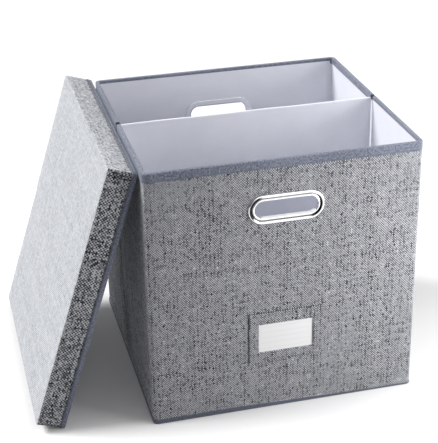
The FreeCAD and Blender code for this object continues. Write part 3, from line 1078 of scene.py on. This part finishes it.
# Hand-hole rings: a rolled outer lip, a groove and a thin inner lip that runs into the barrel.
def grommetSection():
    spec = handle
    lip = spec["lip"] / 2
    section = [(0.3, 0.0), (0.05, 0.35)]
    section += arc((lip, spec["proud"] - lip), lip, 180, 0, 12)
    inner = spec["lip"] + 0.1
    rise = inner + spec["grooveWidth"]
    section += [(inner, spec["grooveFloor"] + 0.1)]
    section += [(inset, spec["grooveFloor"]) for inset in evenly(inner + 0.3, rise - 0.3, 0.3)]
    section += [(rise, spec["grooveFloor"] + 0.2)]
    thin = (spec["ring"] - rise) / 2
    section += arc((rise + thin, spec["innerProud"] - thin), thin, 170, 0, 9)
    back = -spec["depth"]
    bore = spec["ring"]
    barrel = bore - spec["barrelWall"]
    return section + [(bore, -1.0), (bore, back + 0.2), (bore - 0.2, back), (barrel, back), (barrel, 0.0)]


# The washer behind the wall, round the end of the barrel.
def washerSection():
    reach = handle["ring"] - handle["barrelWall"] - 0.2
    back = -handle["depth"]
    section = [(0.0, back + 1.0)] + arc((0.5, back + 0.5), 0.5, 180, 270, 4)
    section += [(reach - 0.3, back), (reach, back + 0.3), (reach, back + 1.0)]
    return section


def sweepRing(name, section, side):
    rows = []
    for inset, out in reversed(section):
        rows.append([(-side * x, side * (handle["face"] + out), z) for x, z in obround(inset)])
    piece = skin(name, rows, chrome, lambda k, i, base: (i, k), sharpAngle=35.0)
    work = bmesh.new()
    work.from_mesh(piece.data)
    bmesh.ops.recalc_face_normals(work, faces=work.faces)
    work.to_mesh(piece.data)
    work.free()
    return piece


# Painted shade in the groove: light along its straight runs, deep round each end where the metal turns away,
# painted there as a dark reflection.
# Insets are given as (inset, softness), angles round an end as (degrees, softness).
grooveShadow = {
    "outerEnd": ((1.2, 0.5), (5.5, 0.5)),
    "innerEnd": ((2.9, 0.5), (5.6, 0.5)),
    "turn": ((-92.0, 22.0), (32.0, 30.0)),
    "floor": ((4.1, 0.3), (5.5, 0.4)),
    "floorShare": 0.85,
}


def grooveShade(spot, side):
    spec = grooveShadow
    across = -side * spot.x
    rise = spot.z - handle["centre"]
    end = spec["innerEnd"]
    if across < 0.0:
        across, rise = -across, -rise
        end = spec["outerEnd"]
    beyond = max(across - handleReach, 0.0)
    inset = handle["radius"] - math.hypot(beyond, rise)
    deep = 0.0
    if beyond > 0.0:
        deep = band(math.degrees(math.atan2(rise, beyond)), *spec["turn"]) * band(inset, *end)
    return max(deep, spec["floorShare"] * band(inset, *spec["floor"]))


def makeHandHole(word, side):
    ring = sweepRing(f"{word}HandRing", grommetSection(), side)
    # the groove mark paints shade and dark reflection into the metal's colour
    markPoints(ring, "groove", lambda spot: grooveShade(spot, side))
    dress(ring, "case", "chrome", f"{word}_handle_grommet")
    washer = sweepRing(f"{word}HandWasher", washerSection(), side)
    dress(washer, "case", "chrome", f"{word}_handle_washer")


makeHandHole("front", -1)
makeHandHole("back", 1)
print("hand holes made")

# Label pocket: a sewn patch with a window, open at its top.
pocketLow, pocketHigh = nodeBox("label_pocket")
pocket = {
    "halfWidth": pocketHigh.x,
    "bottom": pocketLow.z,
    "top": pocketHigh.z,
    "wallFace": -caseCloth["halfY"],
    "face": -pocketLow.y,
    "cloth": 0.75,
    "windowHalfWidth": 37.0,
    "windowBottom": 88.5,
    "windowTop": 130.5,
    "roll": 1.1,
    "step": 2.6,
    "pressed": 0.35,
    "wave": 0.12,
    "weaveAcross": 311.7,
    "weaveUp": 41.3,
}


# Grid lines from edge to edge of the patch, closer together at its edges and at its window.
def pocketLines(low, innerLow, innerHigh, high):
    roll = pocket["roll"]
    step = pocket["step"]
    lines = [low, low + roll * 0.25, low + roll * 0.6]
    lines += evenly(low + roll, innerLow - roll, step) + [innerLow - roll * 0.5]
    lines += evenly(innerLow, innerHigh, step) + [innerHigh + roll * 0.5]
    lines += evenly(innerHigh + roll, high - roll, step)
    return lines + [high - roll * 0.6, high - roll * 0.25, high]


# How far the outer and the inner face of the patch stand out from the wall.
def pocketLift(x, z):
    spec = pocket
    depth = spec["face"] + spec["wallFace"]
    edge = min(spec["halfWidth"] - abs(x), z - spec["bottom"])
    curl = math.sqrt(max(0.0, 1.0 - (1.0 - min(edge / spec["roll"], 1.0)) ** 2))
    toWindow = max(abs(x) - spec["windowHalfWidth"], spec["windowBottom"] - z, z - spec["windowTop"])
    free = min(abs(toWindow), spec["top"] - z)
    outer = depth * curl - spec["pressed"] * (1.0 - smooth(free / spec["roll"]))
    outer += spec["wave"] * noise.noise(Vector((x * 0.08, z * 0.08, 2.0)))
    inner = (depth - spec["cloth"]) * smooth(edge / 2.5 - 0.3)
    return max(outer, 0.05), max(inner, 0.02)


# Corners of one cell in a grid of points, whose rows have a width.
def gridCell(start, width, row, column):
    first = start + row * width + column
    return [first, first + 1, first + width + 1, first + width]


def makePocket():
    spec = pocket
    side = spec["halfWidth"]
    windowSide = spec["windowHalfWidth"]
    columns = pocketLines(-side, -windowSide, windowSide, side)
    rows = pocketLines(spec["bottom"], spec["windowBottom"], spec["windowTop"], spec["top"])
    points = []
    for layer in (0, 1):
        for z in rows:
            points += [(x, spec["wallFace"] - pocketLift(x, z)[layer], z) for x in columns]
    width = len(columns)
    count = width * len(rows)
    faces = []
    edges = []
    for r in range(len(rows) - 1):
        for c in range(width - 1):
            x = (columns[c] + columns[c + 1]) / 2
            z = (rows[r] + rows[r + 1]) / 2
            if abs(x) < windowSide and spec["windowBottom"] < z < spec["windowTop"]:
                continue
            cell = gridCell(0, width, r, c)
            faces.append(cell)
            faces.append([index + count for index in reversed(cell)])
            edges += zip(cell, cell[1:] + cell[:1])
    # an edge that only one cell has lies on the outline, and gets a wall
    known = set(edges)
    faces += [[b, a, a + count, b + count] for a, b in edges if (b, a) not in known]
    offset = (caseCloth["halfX"] + spec["weaveAcross"], spec["weaveUp"])
    uvs = [(points[index][0] + offset[0], points[index][2] + offset[1]) for face in faces for index in face]
    return newPiece("labelPocket", points, faces, linen, uvs, sharpAngle=55.0)


# Painted shade: a dark line where the patch turns under at its sides and at its open top, where its edge
# casts shade.
def pocketEdge(spot):
    edge = min(pocket["halfWidth"] - abs(spot.x), pocket["top"] - spot.z)
    return 1.0 - smooth((edge - 0.5) / 0.7)


labelPatch = makePocket()
# painted shade along the pocket's edges
markPoints(labelPatch, "seam", pocketEdge)
dress(labelPatch, "case", "linen_cloth", "label_pocket")

# Rows of a rounded edge, as shares of its radius.
edgeShares = (0.38, 0.75, 1.0)


# A slab with rounded edges, on a grid; wave moves its points, and its cloth follows two axes.
def slab(name, box, radius, step, finish, wave=None, clothAxes=(0, 1)):
    low, high = box
    middle = (low + high) / 2
    half = (high - low) / 2
    core = Vector([max(value - radius, 0.0) for value in half])
    lines = []
    for limit in core:
        edge = [limit + radius * share for share in edgeShares]
        lines.append([-value for value in reversed(edge)] + evenly(-limit, limit, step) + edge)
    points = []
    faces = []
    for axis in range(3):
        a, b = (axis + 1) % 3, (axis + 2) % 3
        width = len(lines[a])
        for sign in (-1, 1):
            start = len(points)
            for second in lines[b]:
                for first in lines[a]:
                    point = Vector((0, 0, 0))
                    point[axis] = sign * half[axis]
                    point[a] = first
                    point[b] = second
                    near = Vector([min(max(value, -limit), limit) for value, limit in zip(point, core)])
                    away = point - near
                    if away.length > 1e-9:
                        point = near + away.normalized() * radius
                    point = point + middle
                    points.append(wave(point) if wave else point)
            for r in range(len(lines[b]) - 1):
                for c in range(width - 1):
                    faces.append(gridCell(start, width, r, c)[::sign])
    uvs = [[points[index][axis] for axis in clothAxes] for face in faces for index in face]
    return newPiece(name, points, faces, finish, uvs, sharpAngle=60.0, merge=0.01)


card = {"box": nodeBox("label_card"), "edgeRadius": 0.12, "step": 9.0}
cardSlip = slab("labelCard", card["box"], card["edgeRadius"], card["step"], cardPaper, clothAxes=(0, 2))
dress(cardSlip, "label_card", "card", "label_card")

# Divider: a board in a sewn white sleeve, a little wavy, most at its right end.
divider = {
    "box": nodeBox("divider_sleeve"),
    "edgeRadius": 1.75,
    "boardEdgeRadius": 0.3,
    "step": 9.0,
    "seamInset": 5.0,
    "wave": 1.1,
    "longShare": 0.55,
    "shortShare": 0.35,
}


def waveDivider(point):
    rise = smooth((point.z - 40.0) / 320.0)
    end = smooth((point.x + 40.0) / 200.0)
    bend = math.sin(point.x * 0.045 + 0.8) * divider["longShare"]
    bend += math.sin(point.x * 0.11 + point.z * 0.01) * divider["shortShare"] * end
    return Vector((point.x, point.y + divider["wave"] * bend * rise, point.z))


def makeDividerPiece(name, box, radius, finish):
    return slab(name, box, radius, divider["step"], finish, waveDivider, (0, 2))


sleeve = makeDividerPiece("dividerSleeve", divider["box"], divider["edgeRadius"], lining)
dress(sleeve, "divider", "lining", "divider_sleeve")
core = makeDividerPiece("dividerCore", nodeBox("divider_board"), divider["boardEdgeRadius"], greyBoard)
dress(core, "divider", "grey_board", "divider_board")

# Base board in its white wrap, with a ribbon tab to lift it by.
baseBoard = {"box": nodeBox("base_board_wrap"), "edgeRadius": 1.7, "step": 24.0, "seamInset": 5.0}
baseWrap = slab("baseBoardWrap", baseBoard["box"], baseBoard["edgeRadius"], baseBoard["step"], lining)
dress(baseWrap, "base_board", "lining", "base_board_wrap")
liftTab = {"thickness": 0.8, "bend": 4.0, "step": 2.5, "widthStep": 3.0}


def makeLiftTab():
    low, high = nodeBox("base_lift_tab")
    bend = liftTab["bend"]
    step = liftTab["step"]
    path = [(low.x + x, low.z) for x in evenly(0.0, high.x - bend - low.x, step)]
    path += arc((high.x - bend, low.z + bend), bend, -90, 0, 6)[1:]
    path += [(high.x, z) for z in evenly(low.z + bend, high.z, step)[1:]]
    path = [Vector(point) for point in path]
    upper = []
    for point, before, after in zip(path, path[:1] + path[:-1], path[1:] + path[-1:]):
        along = (after - before).normalized()
        upper.append(point + Vector((-along.y, along.x)) * liftTab["thickness"])
    loop = path + upper[::-1]
    runs = runsAlong(loop)
    widths = evenly(low.y, high.y, liftTab["widthStep"])
    rows = [[(point.x, y, point.y) for y in widths] for point in loop]
    return skin("liftTab", rows, ribbon, lambda k, i, base: (widths[i], runs[k]), endCaps=True)


tab = makeLiftTab()
dress(tab, "base_board", "ribbon", "base_lift_tab")
print("pocket, card, divider and base board made")

# Lid: its own plan lies flat here and is then leaned on the left wall.
lidLow, lidHigh = nodeBox("lid_cover")
lid = {
    "lean": 72.0,
    "halfX": 186.7,
    "halfY": (lidHigh.y - lidLow.y) / 2,
    "skirt": 39.0,
    "radius": 5.0,
    "innerRadius": 0.8,
    "edgeRadius": 2.0,
    "thickness": 0.7,
    "liningInset": 2.6,
    "hem": 0.9,
    "step": 6.0,
    "topStep": 8.0,
    "skirtStep": 5.0,
    "innerTopStep": 40.0,
    "innerSkirtStep": 12.0,
    "arcSteps": 6,
    "tapeHeight": 7.0,
    "tapeReach": 0.8,
    "topWave": 0.25,
    "skirtWave": 0.35,
    "stand": 0.1,
    "headPaintedLight": 0.75,
    "weaveScale": 0.78,
}
leanAngle = math.radians(lid["lean"])
lidMiddle = Vector((
    lidLow.x + lid["halfX"] * math.cos(leanAngle) + lid["skirt"] * math.sin(leanAngle),
    (lidLow.y + lidHigh.y) / 2,
    lidHigh.z - lid["halfX"] * math.sin(leanAngle) - lid["skirt"] * math.cos(leanAngle),
))
leanTurn = Matrix.Rotation(-leanAngle, 4, "Y")
lidPlace = Matrix.Translation(lidMiddle) @ leanTurn


# Leans a finished piece with the lid.
def leanPiece(piece):
    piece.data.transform(Matrix.Translation(lidMiddle * mm) @ leanTurn)
    return piece


# Cloth place on the lid: the top laid flat, each skirt folded out beside it.
def lidUv(point, station):
    side, share, turn = station
    if turn > 0.5:
        side = (side + 1) % 4
    out = outOfSides[side]
    drop = lid["skirt"] - point.z
    scale = lid["weaveScale"]
    return (point.x + out.x * drop) * scale, (point.y + out.y * drop) * scale


def shapeLidCloth(point, normal, station, inset):
    # the noise is read far from where the case reads it
    local = Vector((point.x, point.y, point.z + 400.0))
    if point.z > lid["skirt"] - 1.0 and inset > 1.0:
        point.z += (lid["topWave"] * noise.noise(local * 0.014) + lid["stand"]) * smooth((inset - 1.0) / 30.0)
        return point
    ease = smooth((lid["skirt"] - point.z) / 8.0) * smooth(point.z / 6.0)
    return point + normal * (ease * (lid["skirtWave"] * noise.noise(local * 0.02) + lid["stand"]))


def makeLidCloth():
    spec = lid
    corner = spec["edgeRadius"]
    top = spec["skirt"]
    thin = spec["thickness"]
    seam = spec["tapeHeight"]
    outside = [(0.0, z) for z in (spec["hem"], seam - 1.0, seam - 0.2, seam + 0.7, seam + 1.3)]
    outside += [(0.0, z) for z in evenly(seam + 3.0, top - corner, spec["skirtStep"])]
    outside += arc((corner, top - corner), corner, 180, 90, 5)[1:-1]
    outside += [(inset, top) for inset in evenly(corner, spec["halfY"], spec["topStep"])]
    inside = [(inset, top - thin) for inset in reversed(evenly(thin, spec["halfY"], spec["innerTopStep"]))]
    inside += [(thin, z) for z in reversed(evenly(spec["hem"], top - corner, spec["innerSkirtStep"]))]
    piece = loft("lidCloth", spec, outside + inside, linen, shapeLidCloth, lidUv, merge=0.01,
                 gapAfter=len(outside) - 1)
    # painted light on the lid's top and head skirt
    markPoints(piece, "paintedLight", lidPaintedLight)
    markPoints(piece, "loose", lidLoose)
    markPoints(piece, "seam", lidSeamShade)
    return leanPiece(piece)


# Painted light: the cloth of the lid's top is painted calmer and paler, and that of its head skirt a little.
def lidPaintedLight(spot):
    onHead = smooth((spot.x - lid["halfX"] + 1.0) / 0.9)
    return max(1.0 - lidLoose(spot), lid["headPaintedLight"] * onHead)


# The regular checker is weaker on the skirts.
def lidLoose(spot):
    return 1.0 - smooth((spot.z - lid["skirt"] + 1.5) / 1.3)


# Painted shade: a dark line along the seam above the lid's tape, where the tape's edge casts shade.
def lidSeamShade(spot):
    return hump(spot.z - lid["tapeHeight"] - 0.6, 1.0)


lidWrap = makeLidCloth()
dress(lidWrap, "lid", "linen_cloth", "lid_cover")


lidLining = {
    "halfX": lid["halfX"] - lid["liningInset"],
    "halfY": lid["halfY"] - lid["liningInset"],
    "radius": 2.6,
    "innerRadius": 1.2,
    "edgeRadius": 1.5,
    "step": 10.0,
    "topStep": 10.0,
    "skirtStep": 8.0,
    "arcSteps": 4,
    "thickness": 0.6,
    "roof": lid["skirt"] - lid["liningInset"],
}


def makeLidLining():
    spec = lidLining
    thin = spec["thickness"]
    corner = spec["edgeRadius"]
    roof = spec["roof"]
    start = thin + corner
    outside = [(0.0, z) for z in evenly(lid["hem"], roof, lid["innerSkirtStep"])]
    outside += [(inset, roof) for inset in evenly(0.0, spec["halfY"], lid["innerTopStep"])[1:]]
    inside = [(inset, roof - thin) for inset in reversed(evenly(start, spec["halfY"], spec["topStep"]))]
    inside += arc((start, roof - start), corner, 90, 180, 4)[1:]
    inside += [(thin, z) for z in reversed(evenly(lid["hem"], roof - start, spec["skirtStep"]))][1:]
    return loft("lidLining", spec, outside + inside, lining, uvAt=lidUv, merge=0.01,
                gapAfter=len(outside) - 1)


lidInner = leanPiece(makeLidLining())
dress(lidInner, "lid", "lining", "lid_liner")

lidTape = {
    "halfX": lid["halfX"] + lid["tapeReach"],
    "halfY": lid["halfY"] + lid["tapeReach"],
    "radius": 5.8,
    "innerRadius": 1.4,
    "step": 8.0,
    "arcSteps": 8,
    "wall": 4.8,
    "edgeRadius": 1.5,
    "wave": 0.45,
}


def shapeLidTape(point, normal, station, inset):
    if inset >= 0.5:
        return point
    wave = lidTape["wave"] * noise.noise(Vector((point.x * 0.03, point.y * 0.03, 9.0)))
    point.z += wave * smooth(point.z / lid["tapeHeight"])
    return point + normal * (0.1 * noise.noise(point * 0.06))


def makeLidTape():
    spec = lidTape
    corner = spec["edgeRadius"]
    wall = spec["wall"]
    height = lid["tapeHeight"]
    thin = lid["tapeReach"]
    section = arc((wall - corner, corner), corner, 0, -90, 5) + arc((corner, corner), corner, 270, 180, 5)
    section += [(0.0, 4.0), (0.0, height - 0.5), (0.25, height), (thin, height), (thin, thin)]
    section += [(wall - thin, thin), (wall - thin, height), (wall - 0.2, height), (wall, height - 0.4)]
    return loft("lidTape", spec, section, slateTape, shapeLidTape)


lidBand = leanPiece(makeLidTape())
dress(lidBand, "lid", "binding_tape", *[f"lid_{side}_tape" for side in sideNames])
print("lid made")

# Stitches: a geometry node tree sets them along each sewing line.
stitch = {
    "pitch": 3.2,
    "length": 2.3,
    "radius": 0.24,
    "shortest": 0.88,
    "longest": 1.08,
    "seed": 7,
    "boldPitch": 2.7,
    "boldRadius": 0.55,
    "tapeEdge": 1.9,
    "lapEdge": 0.8,
    "lidEdge": 1.0,
    "pocketEdge": 2.4,
    "windowEdge": 2.2,
    "lineStep": 6.0,
}


def makeStitchTree():
    tree = bpy.data.node_groups.new("sewnRow", "GeometryNodeTree")
    face = tree.interface
    face.new_socket("Geometry", in_out="INPUT", socket_type="NodeSocketGeometry")
    for name, key in (("Pitch", "pitch"), ("Stitch Length", "length"), ("Thread Radius", "radius")):
        socket = face.new_socket(name, in_out="INPUT", socket_type="NodeSocketFloat")
        socket.default_value = stitch[key] * mm
    face.new_socket("Seed", in_out="INPUT", socket_type="NodeSocketInt").default_value = stitch["seed"]
    face.new_socket("Thread", in_out="INPUT", socket_type="NodeSocketMaterial")
    face.new_socket("Geometry", in_out="OUTPUT", socket_type="NodeSocketGeometry")
    given = tree.nodes.new("NodeGroupInput").outputs
    line = addNode(tree, "GeometryNodeMeshToCurve", Mesh=given["Geometry"])
    spots = tree.nodes.new("GeometryNodeCurveToPoints")
    spots.mode = "LENGTH"
    feed(tree, spots.inputs["Curve"], line.outputs["Curve"])
    feed(tree, spots.inputs["Length"], given["Pitch"])
    bead = addNode(tree, "GeometryNodeMeshUVSphere", Segments=6, Rings=4, Radius=1.0)
    vary = tree.nodes.new("FunctionNodeRandomValue")
    vary.data_type = "FLOAT"
    feed(tree, vary.inputs[2], stitch["shortest"])
    feed(tree, vary.inputs[3], stitch["longest"])
    feed(tree, vary.inputs["Seed"], given["Seed"])
    halfLength = calc(tree, "MULTIPLY", given["Stitch Length"], 0.5)
    longer = calc(tree, "MULTIPLY", halfLength, vary.outputs[1])
    size = joinXyz(tree, given["Thread Radius"], given["Thread Radius"], longer)
    placed = addNode(tree, "GeometryNodeInstanceOnPoints", Points=spots.outputs["Points"],
                     Instance=bead.outputs["Mesh"], Rotation=spots.outputs["Rotation"], Scale=size)
    real = addNode(tree, "GeometryNodeRealizeInstances", Geometry=placed.outputs["Instances"])
    sewn = addNode(tree, "GeometryNodeSetMaterial", Geometry=real.outputs["Geometry"])
    feed(tree, sewn.inputs["Material"], given["Thread"])
    addNode(tree, "NodeGroupOutput", Geometry=sewn.outputs["Geometry"])
    return tree


stitchTree = makeStitchTree()


def sewLines(name, lines, thread, body, slotName, bold=False):
    points = []
    edges = []
    for line in lines:
        start = len(points)
        points += [Vector(point) * mm for point in line]
        edges += [(start + n, start + n + 1) for n in range(len(line) - 1)]
    mesh = bpy.data.meshes.new(name)
    mesh.from_pydata(points, edges, [])
    piece = linkPiece(name, mesh)
    sewing = piece.modifiers.new("sewing", "NODES")
    sewing.node_group = stitchTree
    given = {"Thread": thread}
    if bold:
        given.update({"Pitch": stitch["boldPitch"] * mm, "Thread Radius": stitch["boldRadius"] * mm})
    for item in stitchTree.interface.items_tree:
        if item.in_out == "INPUT" and item.name in given:
            sewing[item.identifier] = given[item.name]
    bakeModifiers(piece)
    piece.data.shade_smooth()
    if piece.data.materials:
        piece.data.materials[0] = thread
    else:
        piece.data.materials.append(thread)
    dress(piece, body, slotName)


# A closed sewing line round a plan at an inset and a height.
def roundLine(plan, inset, height):
    spots = [stationPoint(plan, station, inset)[0] for station in stationsOf(plan)]
    line = [Vector((spot.x, spot.y, height)) for spot in spots]
    return line + line[:1]


# Three sides of a frame: down, across and up again.
def frameLine(half, low, high, face):
    return [(-half, face, high), (-half, face, low), (half, face, low), (half, face, high)]


def sewTapes():
    edge = stitch["tapeEdge"]
    footLine = roundLine(baseTape, -0.05, baseTape["height"] - edge)
    for point in footLine[:-1]:
        point.z *= footTaper(point.x, point.y)
    tapeLines = [roundLine(rimTape, -0.1, rimTape["bottom"] + edge), footLine]
    sewLines("caseTapeStitches", tapeLines, slateThread, "case", "binding_tape")
    lapX = rimTape["radius"] - rimTape["halfX"]
    front = -rimTape["halfY"] - rimTape["lap"]
    lapEnds = (rimTape["bottom"] + stitch["lapEdge"], rimTape["top"] - stitch["lapEdge"])
    lap = [(lapX, front, height) for height in lapEnds]
    sewLines("lapStitches", [lap], slateThread, "case", "binding_tape", bold=True)


def sewPocket():
    seam = stitch["pocketEdge"]
    window = stitch["windowEdge"]
    face = -pocket["face"] - 0.02
    around = frameLine(pocket["windowHalfWidth"] + window, pocket["windowBottom"] - window,
                       pocket["windowTop"] + window, face)
    patch = frameLine(pocket["halfWidth"] - seam, pocket["bottom"] + seam, pocket["top"] - 0.8, face)
    sewLines("pocketStitches", [patch, around + around[:1]], slateThread, "case", "linen_cloth")


def sewDivider():
    boxLow, boxHigh = divider["box"]
    inset = divider["seamInset"]
    step = stitch["lineStep"]
    side = boxHigh.x - inset
    widths = evenly(-side, side, step)
    heights = evenly(boxLow.z + inset, boxHigh.z - inset, step)
    lines = []
    for face in (boxLow.y, boxHigh.y):
        line = [(x, face, heights[-1]) for x in widths] + [(side, face, z) for z in reversed(heights)]
        line += [(x, face, heights[0]) for x in reversed(widths)] + [(-side, face, z) for z in heights]
        lines.append([waveDivider(Vector(point)) for point in line])
    sewLines("dividerStitches", lines, whiteThread, "divider", "lining")


def sewBaseBoard():
    top = baseBoard["box"][1]
    side = top.x - baseBoard["seamInset"]
    back = top.y - baseBoard["seamInset"]
    square = [(x * side, y * back, top.z) for x, y in ((-1, -1), (1, -1), (1, 1), (-1, 1), (-1, -1))]
    sewLines("baseBoardStitches", [square], whiteThread, "base_board", "lining")


sewTapes()
sewPocket()
lidLine = roundLine(lidTape, -0.05, lid["tapeHeight"] - stitch["lidEdge"])
lidLine = [lidPlace @ point for point in lidLine]
sewLines("lidTapeStitches", [lidLine], slateThread, "lid", "binding_tape", bold=True)
sewDivider()
sewBaseBoard()
print("stitches sewn")

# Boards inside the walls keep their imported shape, in grey board.
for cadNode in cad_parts.values():
    cadNode.data.materials.clear()
    cadNode.data.materials.append(greyBoard)

# Floor, backdrop and light. A sun has its strength, angle and source, a lamp its strength, size,
# place and aim.
studio = {
    "floorSize": 12000.0,
    "floorShown": (0.9, 0.9, 0.9),
    "floorBounce": (0.13, 0.13, 0.135),
    "skyLight": 0.02,
    "leftLight": 0.75,
    "backLight": 0.2,
    "flagEdge": (0.5, 0.72),
    "flagShade": 0.02,
    "suns": {
        "key": (3.28, 26.0, (-1.0, 0.36, 1.12)),
        "fill": (0.58, 40.0, (1.0, 0.42, 1.5)),
        "front": (0.52, 60.0, (0.3, -1.0, 0.7)),
    },
    "lamps": {
        "side": (4.7, 460.0, (497.0, -457.0, 340.0), (150.0, -174.5, 180.0)),
        "wedge": (0.9, 140.0, (-330.0, 640.0, 80.0), (-182.0, -20.0, 180.0)),
    },
}


def makeFloor():
    half = studio["floorSize"] / 2
    corners = [(-half, -half, 0.0), (half, -half, 0.0), (half, half, 0.0), (-half, half, 0.0)]
    material, tree, shader = newMaterial("paleFloor", {"roughness": 1.0, "specular": 0.0})
    path = tree.nodes.new("ShaderNodeLightPath").outputs
    seen = calc(tree, "MAXIMUM", path["Is Camera Ray"], path["Is Glossy Ray"])
    seen = calc(tree, "MAXIMUM", seen, path["Is Transmission Ray"])
    feed(tree, shader.inputs["Base Color"], mixTones(tree, seen, studio["floorBounce"], studio["floorShown"]))
    newPiece("floor", corners, [[0, 1, 2, 3]], material)


# White to the camera, soft light from the left and the back, and a dark flag at each side for the metal.
def makeWorld():
    world = bpy.data.worlds.new("studio")
    scene.world = world
    world.use_nodes = True
    tree = world.node_tree
    back = tree.nodes["Background"]
    back.inputs["Color"].default_value = (1.0, 1.0, 1.0, 1.0)
    way = splitXyz(tree, tree.nodes.new("ShaderNodeTexCoord").outputs["Generated"])
    fromLeft = spread(tree, way[0], 0.0, -1.0, studio["skyLight"], studio["leftLight"])
    fromBack = spread(tree, way[1], 0.0, 1.0, 0.0, studio["backLight"])
    flags = spread(tree, calc(tree, "ABSOLUTE", way[0]), *studio["flagEdge"], 1.0, studio["flagShade"])
    path = tree.nodes.new("ShaderNodeLightPath").outputs
    plain = calc(tree, "MAXIMUM", path["Is Camera Ray"], path["Is Transmission Ray"])
    mirrored = calc(tree, "MULTIPLY", path["Is Glossy Ray"], flags)
    shown = calc(tree, "MAXIMUM", plain, mirrored)
    other = calc(tree, "SUBTRACT", 1.0, calc(tree, "MAXIMUM", plain, path["Is Glossy Ray"]))
    diffuse = calc(tree, "MULTIPLY", calc(tree, "ADD", fromLeft, fromBack), other)
    feed(tree, back.inputs["Strength"], calc(tree, "ADD", shown, diffuse))


def turnLamp(lamp, towards):
    lamp.rotation_mode = "QUATERNION"
    lamp.rotation_quaternion = towards.to_track_quat("Z", "Y")
    scene.collection.objects.link(lamp)


def makeLights():
    for name, (strength, angle, source) in studio["suns"].items():
        sun = bpy.data.lights.new(name, "SUN")
        sun.energy = strength
        sun.angle = math.radians(angle)
        turnLamp(bpy.data.objects.new(name, sun), Vector(source))
    for name, (strength, size, source, aim) in studio["lamps"].items():
        panel = bpy.data.lights.new(name, "AREA")
        panel.energy = strength
        panel.size = size * mm
        lamp = bpy.data.objects.new(name, panel)
        lamp.visible_camera = False
        lamp.location = Vector(source) * mm
        turnLamp(lamp, Vector(source) - Vector(aim))


makeFloor()
makeWorld()
makeLights()
scene.view_settings.view_transform = "Standard"
print("studio lit")
